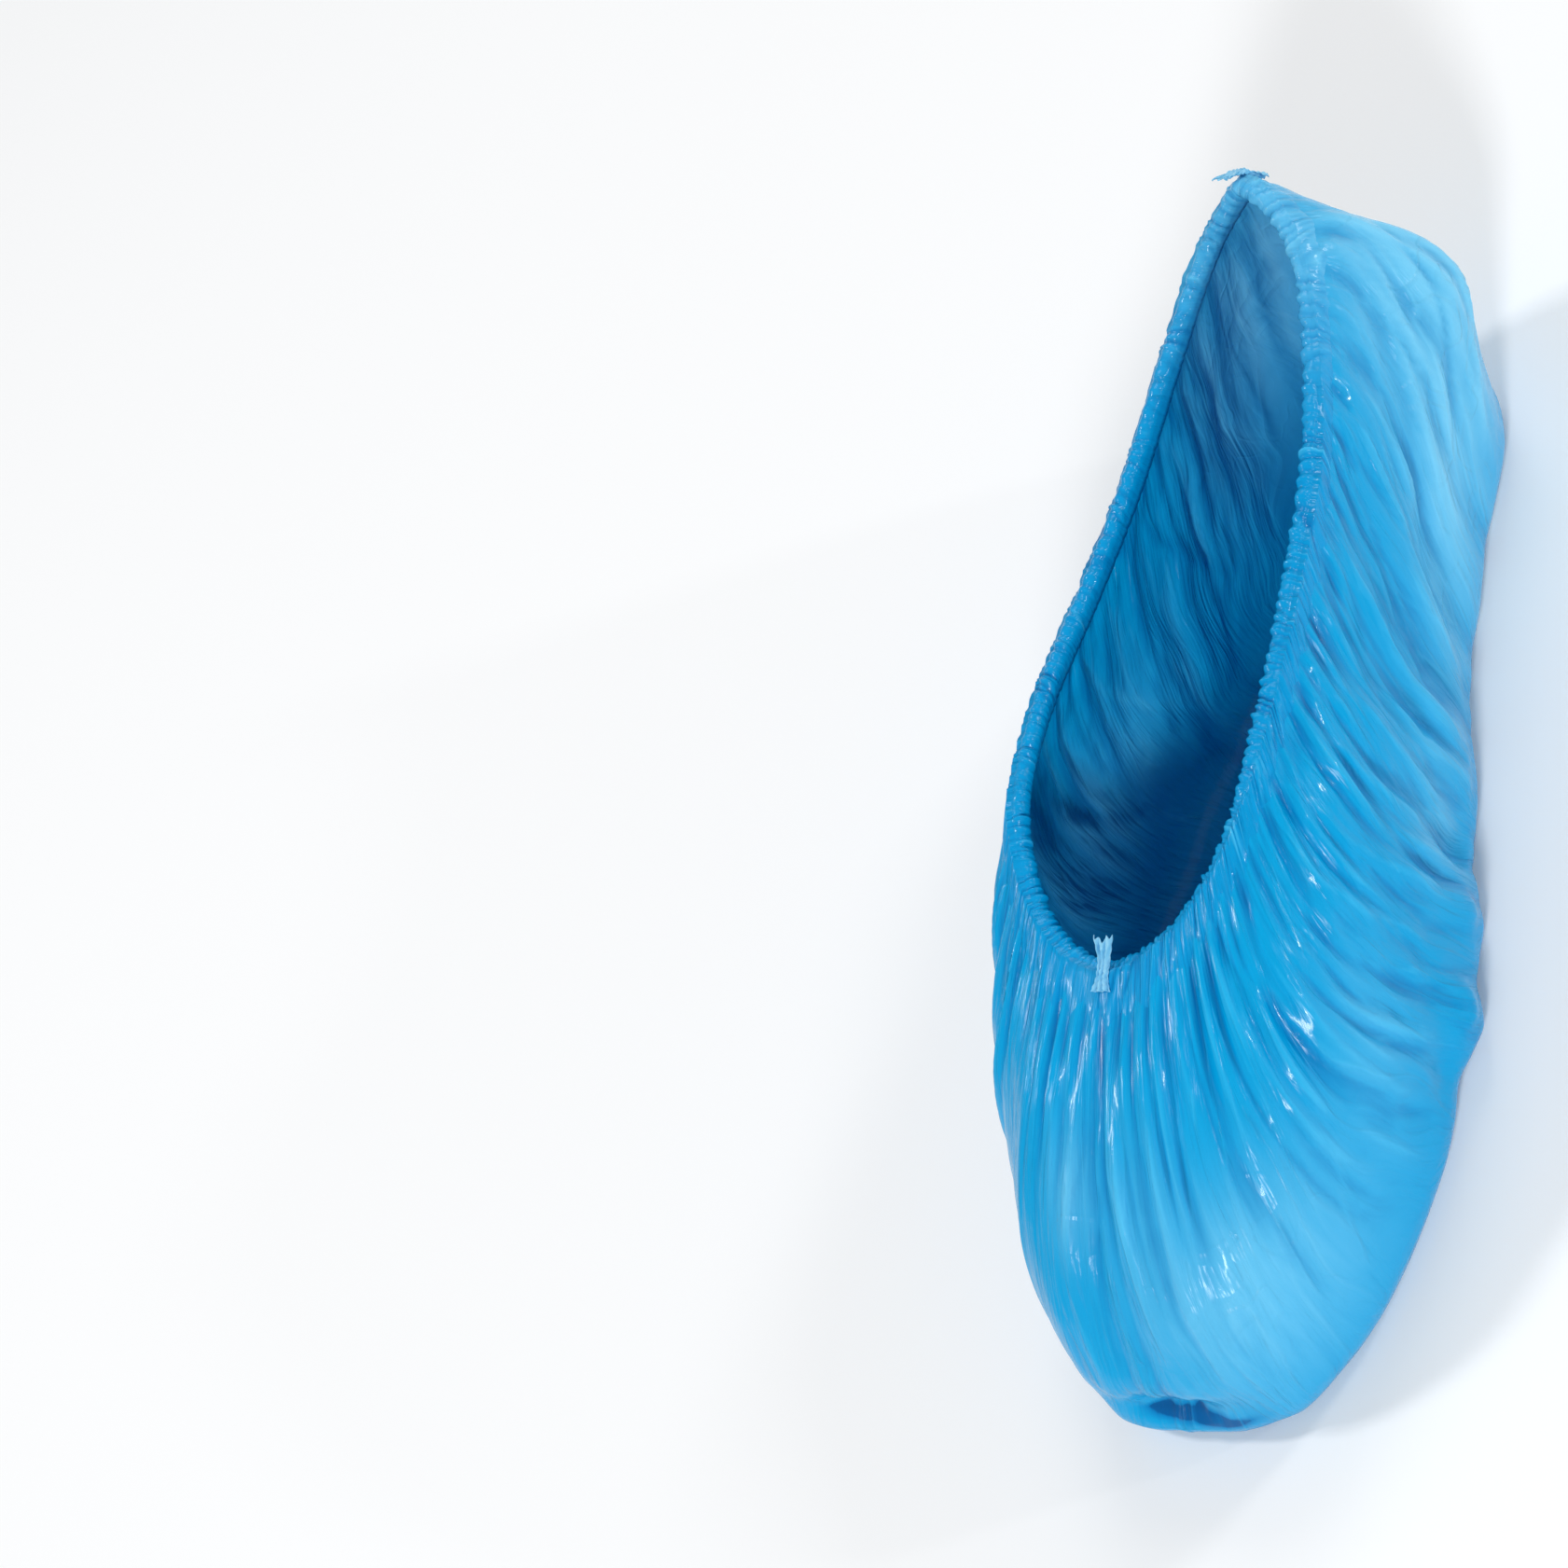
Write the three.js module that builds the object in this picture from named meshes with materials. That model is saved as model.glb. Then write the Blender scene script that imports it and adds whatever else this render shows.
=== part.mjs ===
// A disposable shoe cover of thin blue polythene film, in the form that it takes on a right shoe.
// The film is one bag with a welded seam at the toe and at the heel. Its mouth ends in a folded hem,
// an elastic thread runs round inside the hem, and the tail of each seam stands on the hem.
// Millimetres, +Z up, toe towards -Y, inner side of the foot towards +X.
// The origin lies on the inside of the sole, where the shoe stands.
import * as THREE from "three";

// Driving sizes of the bag
const SOLE_LENGTH = 306;
const BALL_WIDTH = 116;
const TOE_REACH = 153; // from the origin forward to the toe
const FILM = 1.2; // wall, thicker than the real film so that it is a solid
const CORNER_RADIUS = 9; // where the side turns under to the sole

// Driving sizes of the mouth
const MOUTH_WIDTH = 78;
const MOUTH_HEIGHT = 85; // beside the ankle
const TOE_COVER = 95; // from the toe back to the front of the mouth
const HEEL_OVERHANG = 6; // how far the back of the mouth reaches past the sole

// Driving sizes of the hem, the elastic and the seam tails
const ELASTIC_THREAD = 2;
const THREAD_CLEARANCE = 0.4;
const HEM_DEPTH = 6;
const HEM_RUCHE = 0.6; // how far each small pucker of the hem stands out
const SEAT_GAP = 0.3; // between pieces that touch
const TAIL_WIDTH = 6;
const TAIL_ABOVE = 5; // how far a seam tail stands above the hem
const TAIL_BELOW = 8; // how far it hangs down outside
const TAIL_FLUTE = 0.7;

// Driving sizes of the folds
const GATHERS = 40; // small pleats that the elastic draws up
const GATHER_DEPTH = 1.5;
const GATHER_REACH = 0.24; // share of the side that they run down
const FOLD_DEPTH = 3.4; // the deepest long fold
const DENT_DEPTH = 6; // the deepest dent
const SEAM_RIDGE = 0.6;
const SEAM_HALF = 0.005; // half its width, as a share of the way round
const HELD_AT_HEM = 0.4; // share of each fold that is left at the hem
const HELD_AT_SOLE = 0.6;
const HOLD_REACH = 0.12; // share of the side over which the folds come to their full depth
const SOLE_MIDDLE = 0.86; // share of the sole's length that the line down its middle keeps

// How finely the bag is divided
const MOUTH_COLUMNS = GATHERS * 4;
const SIDE_COLUMNS = MOUTH_COLUMNS / 2;
const THREAD_SIDES = 5;

// Round the bag from the toe past the inner side to the heel and back on the outer side.
// turn: share of the way round. soleX, rimX: share of half the width. soleY, rimY: share of the length
// from the front. rimZ: share of the mouth's height. bellyOut, bellyZ: where the side bulges, as shares
// of the sole's edge and of the mouth's height.
const STATIONS = [
  { turn: 0.0, soleX: 0.0, soleY: 0.0, rimX: 0.0, rimY: 0.0, rimZ: 0.9, bellyOut: 0.94, bellyZ: 0.74 },
  { turn: 0.04, soleX: 0.37, soleY: 0.006, rimX: 0.31, rimY: 0.016, rimZ: 0.915, bellyOut: 0.96, bellyZ: 0.75 },
  { turn: 0.08, soleX: 0.65, soleY: 0.042, rimX: 0.57, rimY: 0.055, rimZ: 0.935, bellyOut: 0.965, bellyZ: 0.75 },
  { turn: 0.13, soleX: 0.9, soleY: 0.13, rimX: 0.81, rimY: 0.122, rimZ: 0.965, bellyOut: 0.95, bellyZ: 0.72 },
  { turn: 0.18, soleX: 1.02, soleY: 0.245, rimX: 0.97, rimY: 0.21, rimZ: 1.0, bellyOut: 0.99, bellyZ: 0.69 },
  { turn: 0.25, soleX: 0.995, soleY: 0.395, rimX: 1.0, rimY: 0.349, rimZ: 0.996, bellyOut: 1.06, bellyZ: 0.68 },
  { turn: 0.31, soleX: 0.84, soleY: 0.525, rimX: 0.92, rimY: 0.49, rimZ: 0.955, bellyOut: 1.08, bellyZ: 0.6 },
  { turn: 0.365, soleX: 0.635, soleY: 0.675, rimX: 0.81, rimY: 0.65, rimZ: 0.93, bellyOut: 1.1, bellyZ: 0.58 },
  { turn: 0.415, soleX: 0.57, soleY: 0.82, rimX: 0.65, rimY: 0.79, rimZ: 0.965, bellyOut: 1.22, bellyZ: 0.74 },
  { turn: 0.45, soleX: 0.54, soleY: 0.92, rimX: 0.47, rimY: 0.9, rimZ: 1.02, bellyOut: 1.3, bellyZ: 0.82 },
  { turn: 0.478, soleX: 0.35, soleY: 0.98, rimX: 0.26, rimY: 0.968, rimZ: 1.075, bellyOut: 1.22, bellyZ: 0.78 },
  { turn: 0.5, soleX: 0.0, soleY: 1.0, rimX: 0.0, rimY: 1.0, rimZ: 1.12, bellyOut: 1.12, bellyZ: 0.74 },
  { turn: 0.522, soleX: -0.34, soleY: 0.978, rimX: -0.26, rimY: 0.968, rimZ: 1.075, bellyOut: 1.13, bellyZ: 0.68 },
  { turn: 0.55, soleX: -0.53, soleY: 0.91, rimX: -0.47, rimY: 0.9, rimZ: 1.02, bellyOut: 1.12, bellyZ: 0.6 },
  { turn: 0.585, soleX: -0.58, soleY: 0.815, rimX: -0.65, rimY: 0.79, rimZ: 0.965, bellyOut: 1.06, bellyZ: 0.55 },
  { turn: 0.635, soleX: -0.69, soleY: 0.67, rimX: -0.81, rimY: 0.65, rimZ: 0.92, bellyOut: 1.06, bellyZ: 0.58 },
  { turn: 0.69, soleX: -0.84, soleY: 0.52, rimX: -0.92, rimY: 0.49, rimZ: 0.94, bellyOut: 1.06, bellyZ: 0.6 },
  { turn: 0.75, soleX: -0.95, soleY: 0.39, rimX: -1.0, rimY: 0.349, rimZ: 0.98, bellyOut: 1.04, bellyZ: 0.67 },
  { turn: 0.82, soleX: -0.94, soleY: 0.25, rimX: -0.97, rimY: 0.21, rimZ: 0.99, bellyOut: 0.99, bellyZ: 0.69 },
  { turn: 0.87, soleX: -0.82, soleY: 0.14, rimX: -0.81, rimY: 0.122, rimZ: 0.96, bellyOut: 0.94, bellyZ: 0.71 },
  { turn: 0.92, soleX: -0.57, soleY: 0.054, rimX: -0.57, rimY: 0.055, rimZ: 0.93, bellyOut: 0.955, bellyZ: 0.74 },
  { turn: 0.96, soleX: -0.36, soleY: 0.01, rimX: -0.31, rimY: 0.016, rimZ: 0.91, bellyOut: 0.96, bellyZ: 0.75 },
];

// Long folds. turn: where each leaves the hem. lean: how far round it drifts on its way down.
// depth: share of the deepest fold, below 0 for a valley. width: half its width, as a share of the way round.
// middle, spread: where on the side it is deepest and how far it runs, as shares of the side.
const FOLDS = [
  { turn: 0.0, lean: 0.03, depth: 0.4, width: 0.009, middle: 0.15, spread: 0.35 },
  { turn: 0.022, lean: 0.01, depth: -0.5, width: 0.01, middle: 0.25, spread: 0.3 },
  { turn: 0.046, lean: 0.012, depth: 0.5, width: 0.012, middle: 0.25, spread: 0.3 },
  { turn: 0.072, lean: 0.02, depth: -0.65, width: 0.012, middle: 0.3, spread: 0.33 },
  { turn: 0.096, lean: 0.045, depth: 0.7, width: 0.013, middle: 0.4, spread: 0.4 },
  { turn: 0.118, lean: 0.05, depth: -0.8, width: 0.013, middle: 0.45, spread: 0.4 },
  { turn: 0.14, lean: 0.055, depth: 0.8, width: 0.013, middle: 0.5, spread: 0.4 },
  { turn: 0.163, lean: 0.055, depth: -0.85, width: 0.013, middle: 0.5, spread: 0.4 },
  { turn: 0.186, lean: 0.055, depth: 0.95, width: 0.013, middle: 0.55, spread: 0.4 },
  { turn: 0.212, lean: 0.05, depth: -0.9, width: 0.013, middle: 0.5, spread: 0.4 },
  { turn: 0.238, lean: 0.045, depth: 0.8, width: 0.013, middle: 0.55, spread: 0.38 },
  { turn: 0.265, lean: 0.04, depth: -0.8, width: 0.013, middle: 0.5, spread: 0.35 },
  { turn: 0.292, lean: 0.035, depth: 0.75, width: 0.013, middle: 0.5, spread: 0.35 },
  { turn: 0.322, lean: 0.025, depth: -0.7, width: 0.013, middle: 0.5, spread: 0.35 },
  { turn: 0.352, lean: 0.02, depth: 0.8, width: 0.013, middle: 0.55, spread: 0.35 },
  { turn: 0.384, lean: 0.01, depth: -0.65, width: 0.013, middle: 0.45, spread: 0.32 },
  { turn: 0.416, lean: 0.0, depth: 0.8, width: 0.014, middle: 0.55, spread: 0.32 },
  { turn: 0.447, lean: -0.01, depth: -0.6, width: 0.012, middle: 0.45, spread: 0.3 },
  { turn: 0.475, lean: -0.01, depth: 0.5, width: 0.01, middle: 0.4, spread: 0.3 },
  { turn: 0.5, lean: 0.0, depth: 0.2, width: 0.008, middle: 0.3, spread: 0.4 },
  { turn: 0.527, lean: 0.0, depth: -0.55, width: 0.011, middle: 0.45, spread: 0.33 },
  { turn: 0.556, lean: -0.005, depth: 0.75, width: 0.013, middle: 0.55, spread: 0.32 },
  { turn: 0.59, lean: -0.01, depth: -0.7, width: 0.013, middle: 0.45, spread: 0.34 },
  { turn: 0.624, lean: -0.015, depth: 0.8, width: 0.014, middle: 0.55, spread: 0.35 },
  { turn: 0.66, lean: -0.02, depth: -0.75, width: 0.013, middle: 0.5, spread: 0.35 },
  { turn: 0.694, lean: -0.03, depth: 0.8, width: 0.014, middle: 0.55, spread: 0.35 },
  { turn: 0.728, lean: -0.035, depth: -0.75, width: 0.013, middle: 0.45, spread: 0.35 },
  { turn: 0.76, lean: -0.04, depth: 0.85, width: 0.013, middle: 0.55, spread: 0.38 },
  { turn: 0.79, lean: -0.045, depth: -0.8, width: 0.013, middle: 0.5, spread: 0.38 },
  { turn: 0.82, lean: -0.05, depth: 0.8, width: 0.013, middle: 0.5, spread: 0.4 },
  { turn: 0.85, lean: -0.045, depth: -0.75, width: 0.013, middle: 0.45, spread: 0.4 },
  { turn: 0.88, lean: -0.04, depth: 0.7, width: 0.013, middle: 0.4, spread: 0.4 },
  { turn: 0.91, lean: -0.03, depth: -0.6, width: 0.012, middle: 0.35, spread: 0.35 },
  { turn: 0.937, lean: -0.02, depth: 0.5, width: 0.012, middle: 0.3, spread: 0.33 },
  { turn: 0.962, lean: -0.01, depth: -0.5, width: 0.011, middle: 0.3, spread: 0.3 },
];

// Dents and bulges, each a soft round place. turn, down: its middle, round the bag and down the side.
// round, tall: half its size each way. depth: share of the deepest dent, above 0 where it bulges.
const DENTS = [
  { turn: 0.0, down: 0.93, round: 0.03, tall: 0.06, depth: -1.0 }, // tuck under the toe
  { turn: 0.012, down: 0.82, round: 0.035, tall: 0.06, depth: 0.35 }, // roll above the tuck
  { turn: 0.07, down: 0.6, round: 0.045, tall: 0.2, depth: 0.5 }, // over the toe cap
  { turn: 0.93, down: 0.55, round: 0.04, tall: 0.22, depth: 0.2 },
  { turn: 0.232, down: 0.99, round: 0.012, tall: 0.1, depth: 1.0 }, // loose corner beside the ball
  { turn: 0.208, down: 0.97, round: 0.011, tall: 0.09, depth: -0.6 },
  { turn: 0.275, down: 0.95, round: 0.012, tall: 0.12, depth: 0.5 },
  { turn: 0.3, down: 0.9, round: 0.012, tall: 0.12, depth: -0.4 },
  { turn: 0.34, down: 0.85, round: 0.025, tall: 0.2, depth: 0.35 },
  { turn: 0.4, down: 0.75, round: 0.03, tall: 0.2, depth: -0.35 },
  { turn: 0.458, down: 0.5, round: 0.025, tall: 0.22, depth: 0.5 }, // slack behind the heel
  { turn: 0.545, down: 0.6, round: 0.02, tall: 0.2, depth: 0.4 },
  { turn: 0.64, down: 0.75, round: 0.03, tall: 0.2, depth: -0.4 },
  { turn: 0.72, down: 0.88, round: 0.02, tall: 0.15, depth: 0.5 },
  { turn: 0.8, down: 0.9, round: 0.015, tall: 0.12, depth: -0.4 },
];

// Where the rows of points lie: down the side, then round the corner, then in to the sole's middle.
const MOUTH_ROWS = [0, 0.06, 0.14, 0.25];
const SIDE_ROWS = [0.37, 0.49, 0.61, 0.73, 0.84, 0.93, 1];
const CORNER_ROWS = [0.35, 0.7, 1];
const SOLE_ROWS = [0.5];

const full = 2 * Math.PI;

// Value of one column of STATIONS at a turn, by a closed cubic through its rows.
function station(name, turn) {
  const count = STATIONS.length;
  const place = ((turn % 1) + 1) % 1;
  let row = count - 1;
  while (STATIONS[row].turn > place) row -= 1;
  const at = (step) => {
    const index = row + step;
    const lap = Math.floor(index / count);
    const entry = STATIONS[((index % count) + count) % count];
    return { turn: entry.turn + lap, value: entry[name] };
  };
  const [before, start, end, after] = [at(-1), at(0), at(1), at(2)];
  const span = end.turn - start.turn;
  const share = (place - start.turn) / span;
  const startSlope = ((end.value - before.value) / (end.turn - before.turn)) * span;
  const endSlope = ((after.value - start.value) / (after.turn - start.turn)) * span;
  const square = share * share;
  const cube = square * share;
  return (
    (2 * cube - 3 * square + 1) * start.value +
    (cube - 2 * square + share) * startSlope +
    (3 * square - 2 * cube) * end.value +
    (cube - square) * endSlope
  );
}

function soleEdge(turn) {
  const across = (station("soleX", turn) * BALL_WIDTH) / 2;
  const along = station("soleY", turn) * SOLE_LENGTH - TOE_REACH;
  return new THREE.Vector3(across, along, CORNER_RADIUS - FILM);
}

function mouthLine(turn) {
  const across = (station("rimX", turn) * MOUTH_WIDTH) / 2;
  const length = SOLE_LENGTH + HEEL_OVERHANG - TOE_COVER;
  const along = station("rimY", turn) * length + TOE_COVER - TOE_REACH;
  return new THREE.Vector3(across, along, station("rimZ", turn) * MOUTH_HEIGHT);
}

// The smooth outside of the bag between the mouth and the sole's edge, before any fold.
function smoothSide(turn, down) {
  const edge = soleEdge(turn);
  const out = station("bellyOut", turn);
  const belly = new THREE.Vector3(edge.x * out, edge.y * out, station("bellyZ", turn) * MOUTH_HEIGHT);
  return new THREE.QuadraticBezierCurve3(mouthLine(turn), belly, edge).getPoint(down);
}

// Outward direction of the smooth side.
function outward(turn, down) {
  const step = 0.001;
  const round = smoothSide(turn + step, down).sub(smoothSide(turn - step, down));
  const low = Math.min(down + step, 1);
  const fall = smoothSide(turn, low).sub(smoothSide(turn, low - 2 * step));
  return fall.cross(round).normalize();
}

// Shortest way round between two turns.
function roundTo(turn, other) {
  const gap = turn - other;
  return gap - Math.round(gap);
}

const bell = (offset, half) => Math.exp(-((offset / half) ** 2));

// How far the film stands out from the smooth side.
function relief(turn, down) {
  const wave = (count, start = 0) => Math.sin(count * full * turn + start);
  const uneven = 1 + 0.35 * wave(7) + 0.25 * wave(17, 1);
  const pleat = Math.cos(GATHERS * full * turn + 0.6 * wave(5));
  let height = GATHER_DEPTH * uneven * pleat * bell(down, GATHER_REACH);
  for (const fold of FOLDS) {
    const offset = roundTo(turn, fold.turn + fold.lean * down);
    height += FOLD_DEPTH * fold.depth * bell(offset, fold.width) * bell(down - fold.middle, fold.spread);
  }
  for (const dent of DENTS) {
    height += DENT_DEPTH * dent.depth * bell(roundTo(turn, dent.turn), dent.round) * bell(down - dent.down, dent.tall);
  }
  for (const seam of [0, 0.5]) height += SEAM_RIDGE * bell(roundTo(turn, seam), SEAM_HALF);
  const atHem = Math.min(1, HELD_AT_HEM + down / HOLD_REACH);
  const atSole = Math.min(1, HELD_AT_SOLE + (1 - down) / HOLD_REACH);
  return height * atHem * atSole;
}

// Directions at the mouth: along it, out of the bag, and up away from the side.
function mouthFrame(turn) {
  const step = 0.001;
  const along = mouthLine(turn + step).sub(mouthLine(turn - step)).normalize();
  const fall = smoothSide(turn, step).sub(mouthLine(turn));
  const out = fall.cross(along).normalize();
  const up = out.clone().cross(along).normalize();
  return { along, out, up };
}

// Share of the side at which the bag's edge lies just below the hem.
function hemShare(turn) {
  const { up } = mouthFrame(turn);
  const wanted = HEM_DEPTH / 2 + SEAT_GAP;
  let share = 0.03;
  for (let pass = 0; pass < 4; pass += 1) {
    const drop = -smoothSide(turn, share).sub(mouthLine(turn)).dot(up);
    share *= wanted / drop;
  }
  return share;
}

// Point of the bag's outside or inside, from 0 at its upper edge to 1 at the sole's edge.
function sidePoint(turn, row, inset) {
  const top = hemShare(turn);
  const down = top + (1 - top) * row;
  const lift = relief(turn, row) - inset;
  return smoothSide(turn, down).addScaledVector(outward(turn, down), lift);
}

// Point on the quarter round from the side to the sole, from 0 at the side to 1 at the sole.
function cornerPoint(turn, row, inset) {
  const side = sidePoint(turn, 1, inset);
  const out = outward(turn, 1).setZ(0).normalize();
  const radius = CORNER_RADIUS - inset;
  const angle = (row * Math.PI) / 2;
  const inward = radius * (1 - Math.cos(angle));
  const point = side.clone().addScaledVector(out, -inward);
  point.z = side.z - (side.z - (inset - FILM)) * Math.sin(angle);
  return point;
}

// The line down the middle of the sole where its two halves meet.
function middlePoint(turn, inset) {
  const near = cornerPoint(turn, 1, inset);
  const far = cornerPoint(1 - turn, 1, inset);
  const middle = near.add(far).multiplyScalar(0.5);
  const centre = SOLE_LENGTH / 2 - TOE_REACH;
  middle.y = centre + (middle.y - centre) * SOLE_MIDDLE;
  return middle;
}

// Collects points and triangles and makes the closed geometry.
class Skin {
  constructor() {
    this.points = [];
    this.faces = [];
  }

  ring(count, pointAt) {
    const first = this.points.length;
    for (let i = 0; i < count; i += 1) this.points.push(pointAt(i));
    return Array.from({ length: count }, (_, i) => first + i);
  }

  face(a, b, c, flip) {
    if (a === b || b === c || a === c) return;
    this.faces.push(flip ? [a, c, b] : [a, b, c]);
  }

  // Joins two rings with as many points, or an upper ring with twice as many as the lower one.
  join(upper, lower, flip = false) {
    const ratio = upper.length / lower.length;
    for (let i = 0; i < lower.length; i += 1) {
      const next = (i + 1) % lower.length;
      const left = upper[i * ratio];
      const right = upper[(next * ratio) % upper.length];
      if (ratio === 2) {
        const between = upper[i * ratio + 1];
        this.face(left, lower[i], between, flip);
        this.face(between, lower[i], lower[next], flip);
        this.face(between, lower[next], right, flip);
      } else {
        this.face(left, lower[i], lower[next], flip);
        this.face(left, lower[next], right, flip);
      }
    }
  }

  geometry() {
    const made = new THREE.BufferGeometry();
    const flat = this.points.flatMap((point) => point.toArray());
    made.setAttribute("position", new THREE.Float32BufferAttribute(flat, 3));
    made.setIndex(this.faces.flat());
    made.computeVertexNormals();
    return made;
  }
}

// One skin of the bag, outside or inside, down to the closed line along the sole's middle.
function bagSkin(skin, inset, flip) {
  const rings = [];
  for (const row of MOUTH_ROWS) {
    rings.push(skin.ring(MOUTH_COLUMNS, (i) => sidePoint(i / MOUTH_COLUMNS, row, inset)));
  }
  for (const row of SIDE_ROWS) {
    rings.push(skin.ring(SIDE_COLUMNS, (i) => sidePoint(i / SIDE_COLUMNS, row, inset)));
  }
  for (const row of CORNER_ROWS) {
    rings.push(skin.ring(SIDE_COLUMNS, (i) => cornerPoint(i / SIDE_COLUMNS, row, inset)));
  }
  for (const row of SOLE_ROWS) {
    rings.push(
      skin.ring(SIDE_COLUMNS, (i) => {
        const turn = i / SIDE_COLUMNS;
        return cornerPoint(turn, 1, inset).lerp(middlePoint(turn, inset), row);
      }),
    );
  }
  const half = SIDE_COLUMNS / 2;
  const middle = skin.ring(half + 1, (i) => middlePoint(i / SIDE_COLUMNS, inset));
  rings.push(Array.from({ length: SIDE_COLUMNS }, (_, i) => middle[i <= half ? i : SIDE_COLUMNS - i]));
  for (let i = 1; i < rings.length; i += 1) skin.join(rings[i - 1], rings[i], flip);
  return rings[0];
}

function filmBag() {
  const skin = new Skin();
  const outer = bagSkin(skin, 0, false);
  const inner = bagSkin(skin, FILM, true);
  skin.join(inner, outer);
  return skin.geometry();
}

// The hem's section is an arch over the thread. Its outer face is flush with the smooth bag.
const threadRadius = ELASTIC_THREAD / 2;
const archInside = threadRadius + THREAD_CLEARANCE;
const archOutside = archInside + FILM;
const archHigh = HEM_DEPTH / 2 - archOutside; // centre of the arch
const threadHigh = archHigh - THREAD_CLEARANCE;

function threadCentre(turn) {
  const { out } = mouthFrame(turn);
  return mouthLine(turn).addScaledVector(out, -archOutside);
}

function rimHem() {
  const skin = new Skin();
  const legLow = -HEM_DEPTH / 2;
  const arch = (radius, angles) =>
    angles.map((angle) => ({
      out: radius * Math.cos(angle),
      up: archHigh + radius * Math.sin(angle),
    }));
  const outside = arch(archOutside, [0, Math.PI / 3, (2 * Math.PI) / 3, Math.PI]);
  const inside = arch(archInside, [Math.PI, Math.PI / 2, 0]);
  const section = [
    { out: archOutside, up: legLow },
    ...outside,
    { out: -archOutside, up: legLow },
    { out: -archInside, up: legLow },
    ...inside,
    { out: archInside, up: legLow },
  ];
  const ruched = outside.length; // points 1 to this one swell with each pucker
  const rings = section.map((corner, index) =>
    skin.ring(MOUTH_COLUMNS, (i) => {
      const turn = i / MOUTH_COLUMNS;
      const { out, up } = mouthFrame(turn);
      const swell = index >= 1 && index <= ruched && i % 2 ? 1 + HEM_RUCHE / archOutside : 1;
      const rise = corner.up > archHigh ? archHigh + (corner.up - archHigh) * swell : corner.up;
      return threadCentre(turn).addScaledVector(out, corner.out * swell).addScaledVector(up, rise);
    }),
  );
  rings.forEach((ring, i) => skin.join(ring, rings[(i + 1) % rings.length], true));
  return skin.geometry();
}

function rimElastic() {
  const skin = new Skin();
  const rings = [];
  for (let side = 0; side < THREAD_SIDES; side += 1) {
    const angle = (side / THREAD_SIDES) * full;
    rings.push(
      skin.ring(MOUTH_COLUMNS, (i) => {
        const turn = i / MOUTH_COLUMNS;
        const { out, up } = mouthFrame(turn);
        return threadCentre(turn)
          .addScaledVector(out, threadRadius * Math.cos(angle))
          .addScaledVector(up, threadHigh + threadRadius * Math.sin(angle));
      }),
    );
  }
  rings.forEach((ring, i) => skin.join(ring, rings[(i + 1) % rings.length], true));
  return skin.geometry();
}

// How far the bag stands out near a seam, from the hem down to a depth below the mouth line.
function proudAtSeam(turn, depth) {
  const { out, up } = mouthFrame(turn);
  const seat = mouthLine(turn);
  let most = -Infinity;
  for (const row of MOUTH_ROWS) {
    for (const column of [-2, -1, 0, 1, 2]) {
      const point = sidePoint(turn + column / MOUTH_COLUMNS, row, 0).sub(seat);
      if (row === 0 || point.dot(up) > -depth) most = Math.max(most, point.dot(out));
    }
  }
  return most;
}

// The tail of a seam: a fluted strip that rises above the hem and hangs down outside it.
// turn: which seam. lean: how far its upper end bends, outwards above 0.
function seamTail(turn, lean) {
  const { along, out, up } = mouthFrame(turn);
  const seat = mouthLine(turn);
  const onHem = Math.max(HEM_RUCHE, proudAtSeam(turn, HEM_DEPTH / 2)) + SEAT_GAP;
  const onBag = proudAtSeam(turn, 1.5 * TAIL_BELOW) + SEAT_GAP;
  const rows = [
    { rise: -TAIL_BELOW, width: 0.55, stand: onBag },
    { rise: -HEM_DEPTH / 2, width: 0.5, stand: onHem },
    { rise: HEM_DEPTH / 2, width: 0.6, stand: onHem },
    { rise: HEM_DEPTH / 2 + TAIL_ABOVE / 2, width: 0.8, stand: onHem + 0.4 * lean },
    { rise: HEM_DEPTH / 2 + TAIL_ABOVE, width: 1, stand: onHem + lean },
  ];
  const flutes = 6;
  const skin = new Skin();
  const rings = rows.map((row) =>
    skin.ring(2 * (flutes + 1), (i) => {
      const front = i <= flutes;
      const step = front ? i : 2 * flutes + 1 - i;
      const across = (step / flutes - 0.5) * TAIL_WIDTH * row.width;
      const wave = step % 2 ? TAIL_FLUTE : 0;
      const stand = row.stand + wave + (front ? FILM : 0);
      return seat.clone().addScaledVector(along, across).addScaledVector(out, stand).addScaledVector(up, row.rise);
    }),
  );
  for (let i = 1; i < rings.length; i += 1) skin.join(rings[i], rings[i - 1]);
  for (const [ring, flip] of [
    [rings[0], true],
    [rings[rings.length - 1], false],
  ]) {
    for (let i = 0; i < flutes; i += 1) {
      const back = ring.length - 1 - i;
      skin.face(ring[i], ring[i + 1], ring[back], flip);
      skin.face(ring[i + 1], ring[back - 1], ring[back], flip);
    }
  }
  return skin.geometry();
}

const film = { color: 0x0a9ae0, roughness: 0.3, metalness: 0 };
const filmMaterial = new THREE.MeshStandardMaterial({ ...film, name: "film" });
const hemMaterial = new THREE.MeshStandardMaterial({ ...film, name: "hem_film" });
const tailMaterial = new THREE.MeshStandardMaterial({ ...film, color: 0x6fc0ea, name: "seam_film" });
const elasticMaterial = new THREE.MeshStandardMaterial({ color: 0xd9e6ee, roughness: 0.7, name: "elastic" });

const shoeCover = new THREE.Group();
const pieces = [
  ["film_bag", filmBag(), filmMaterial],
  ["rim_hem", rimHem(), hemMaterial],
  ["rim_elastic", rimElastic(), elasticMaterial],
  ["toe_seam_tail", seamTail(0, 2), tailMaterial],
  ["heel_seam_tail", seamTail(0.5, -3), tailMaterial],
];
for (const [name, geometry, material] of pieces) {
  const mesh = new THREE.Mesh(geometry, material);
  mesh.name = name;
  shoeCover.add(mesh);
}

export default shoeCover;
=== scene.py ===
import math

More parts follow.
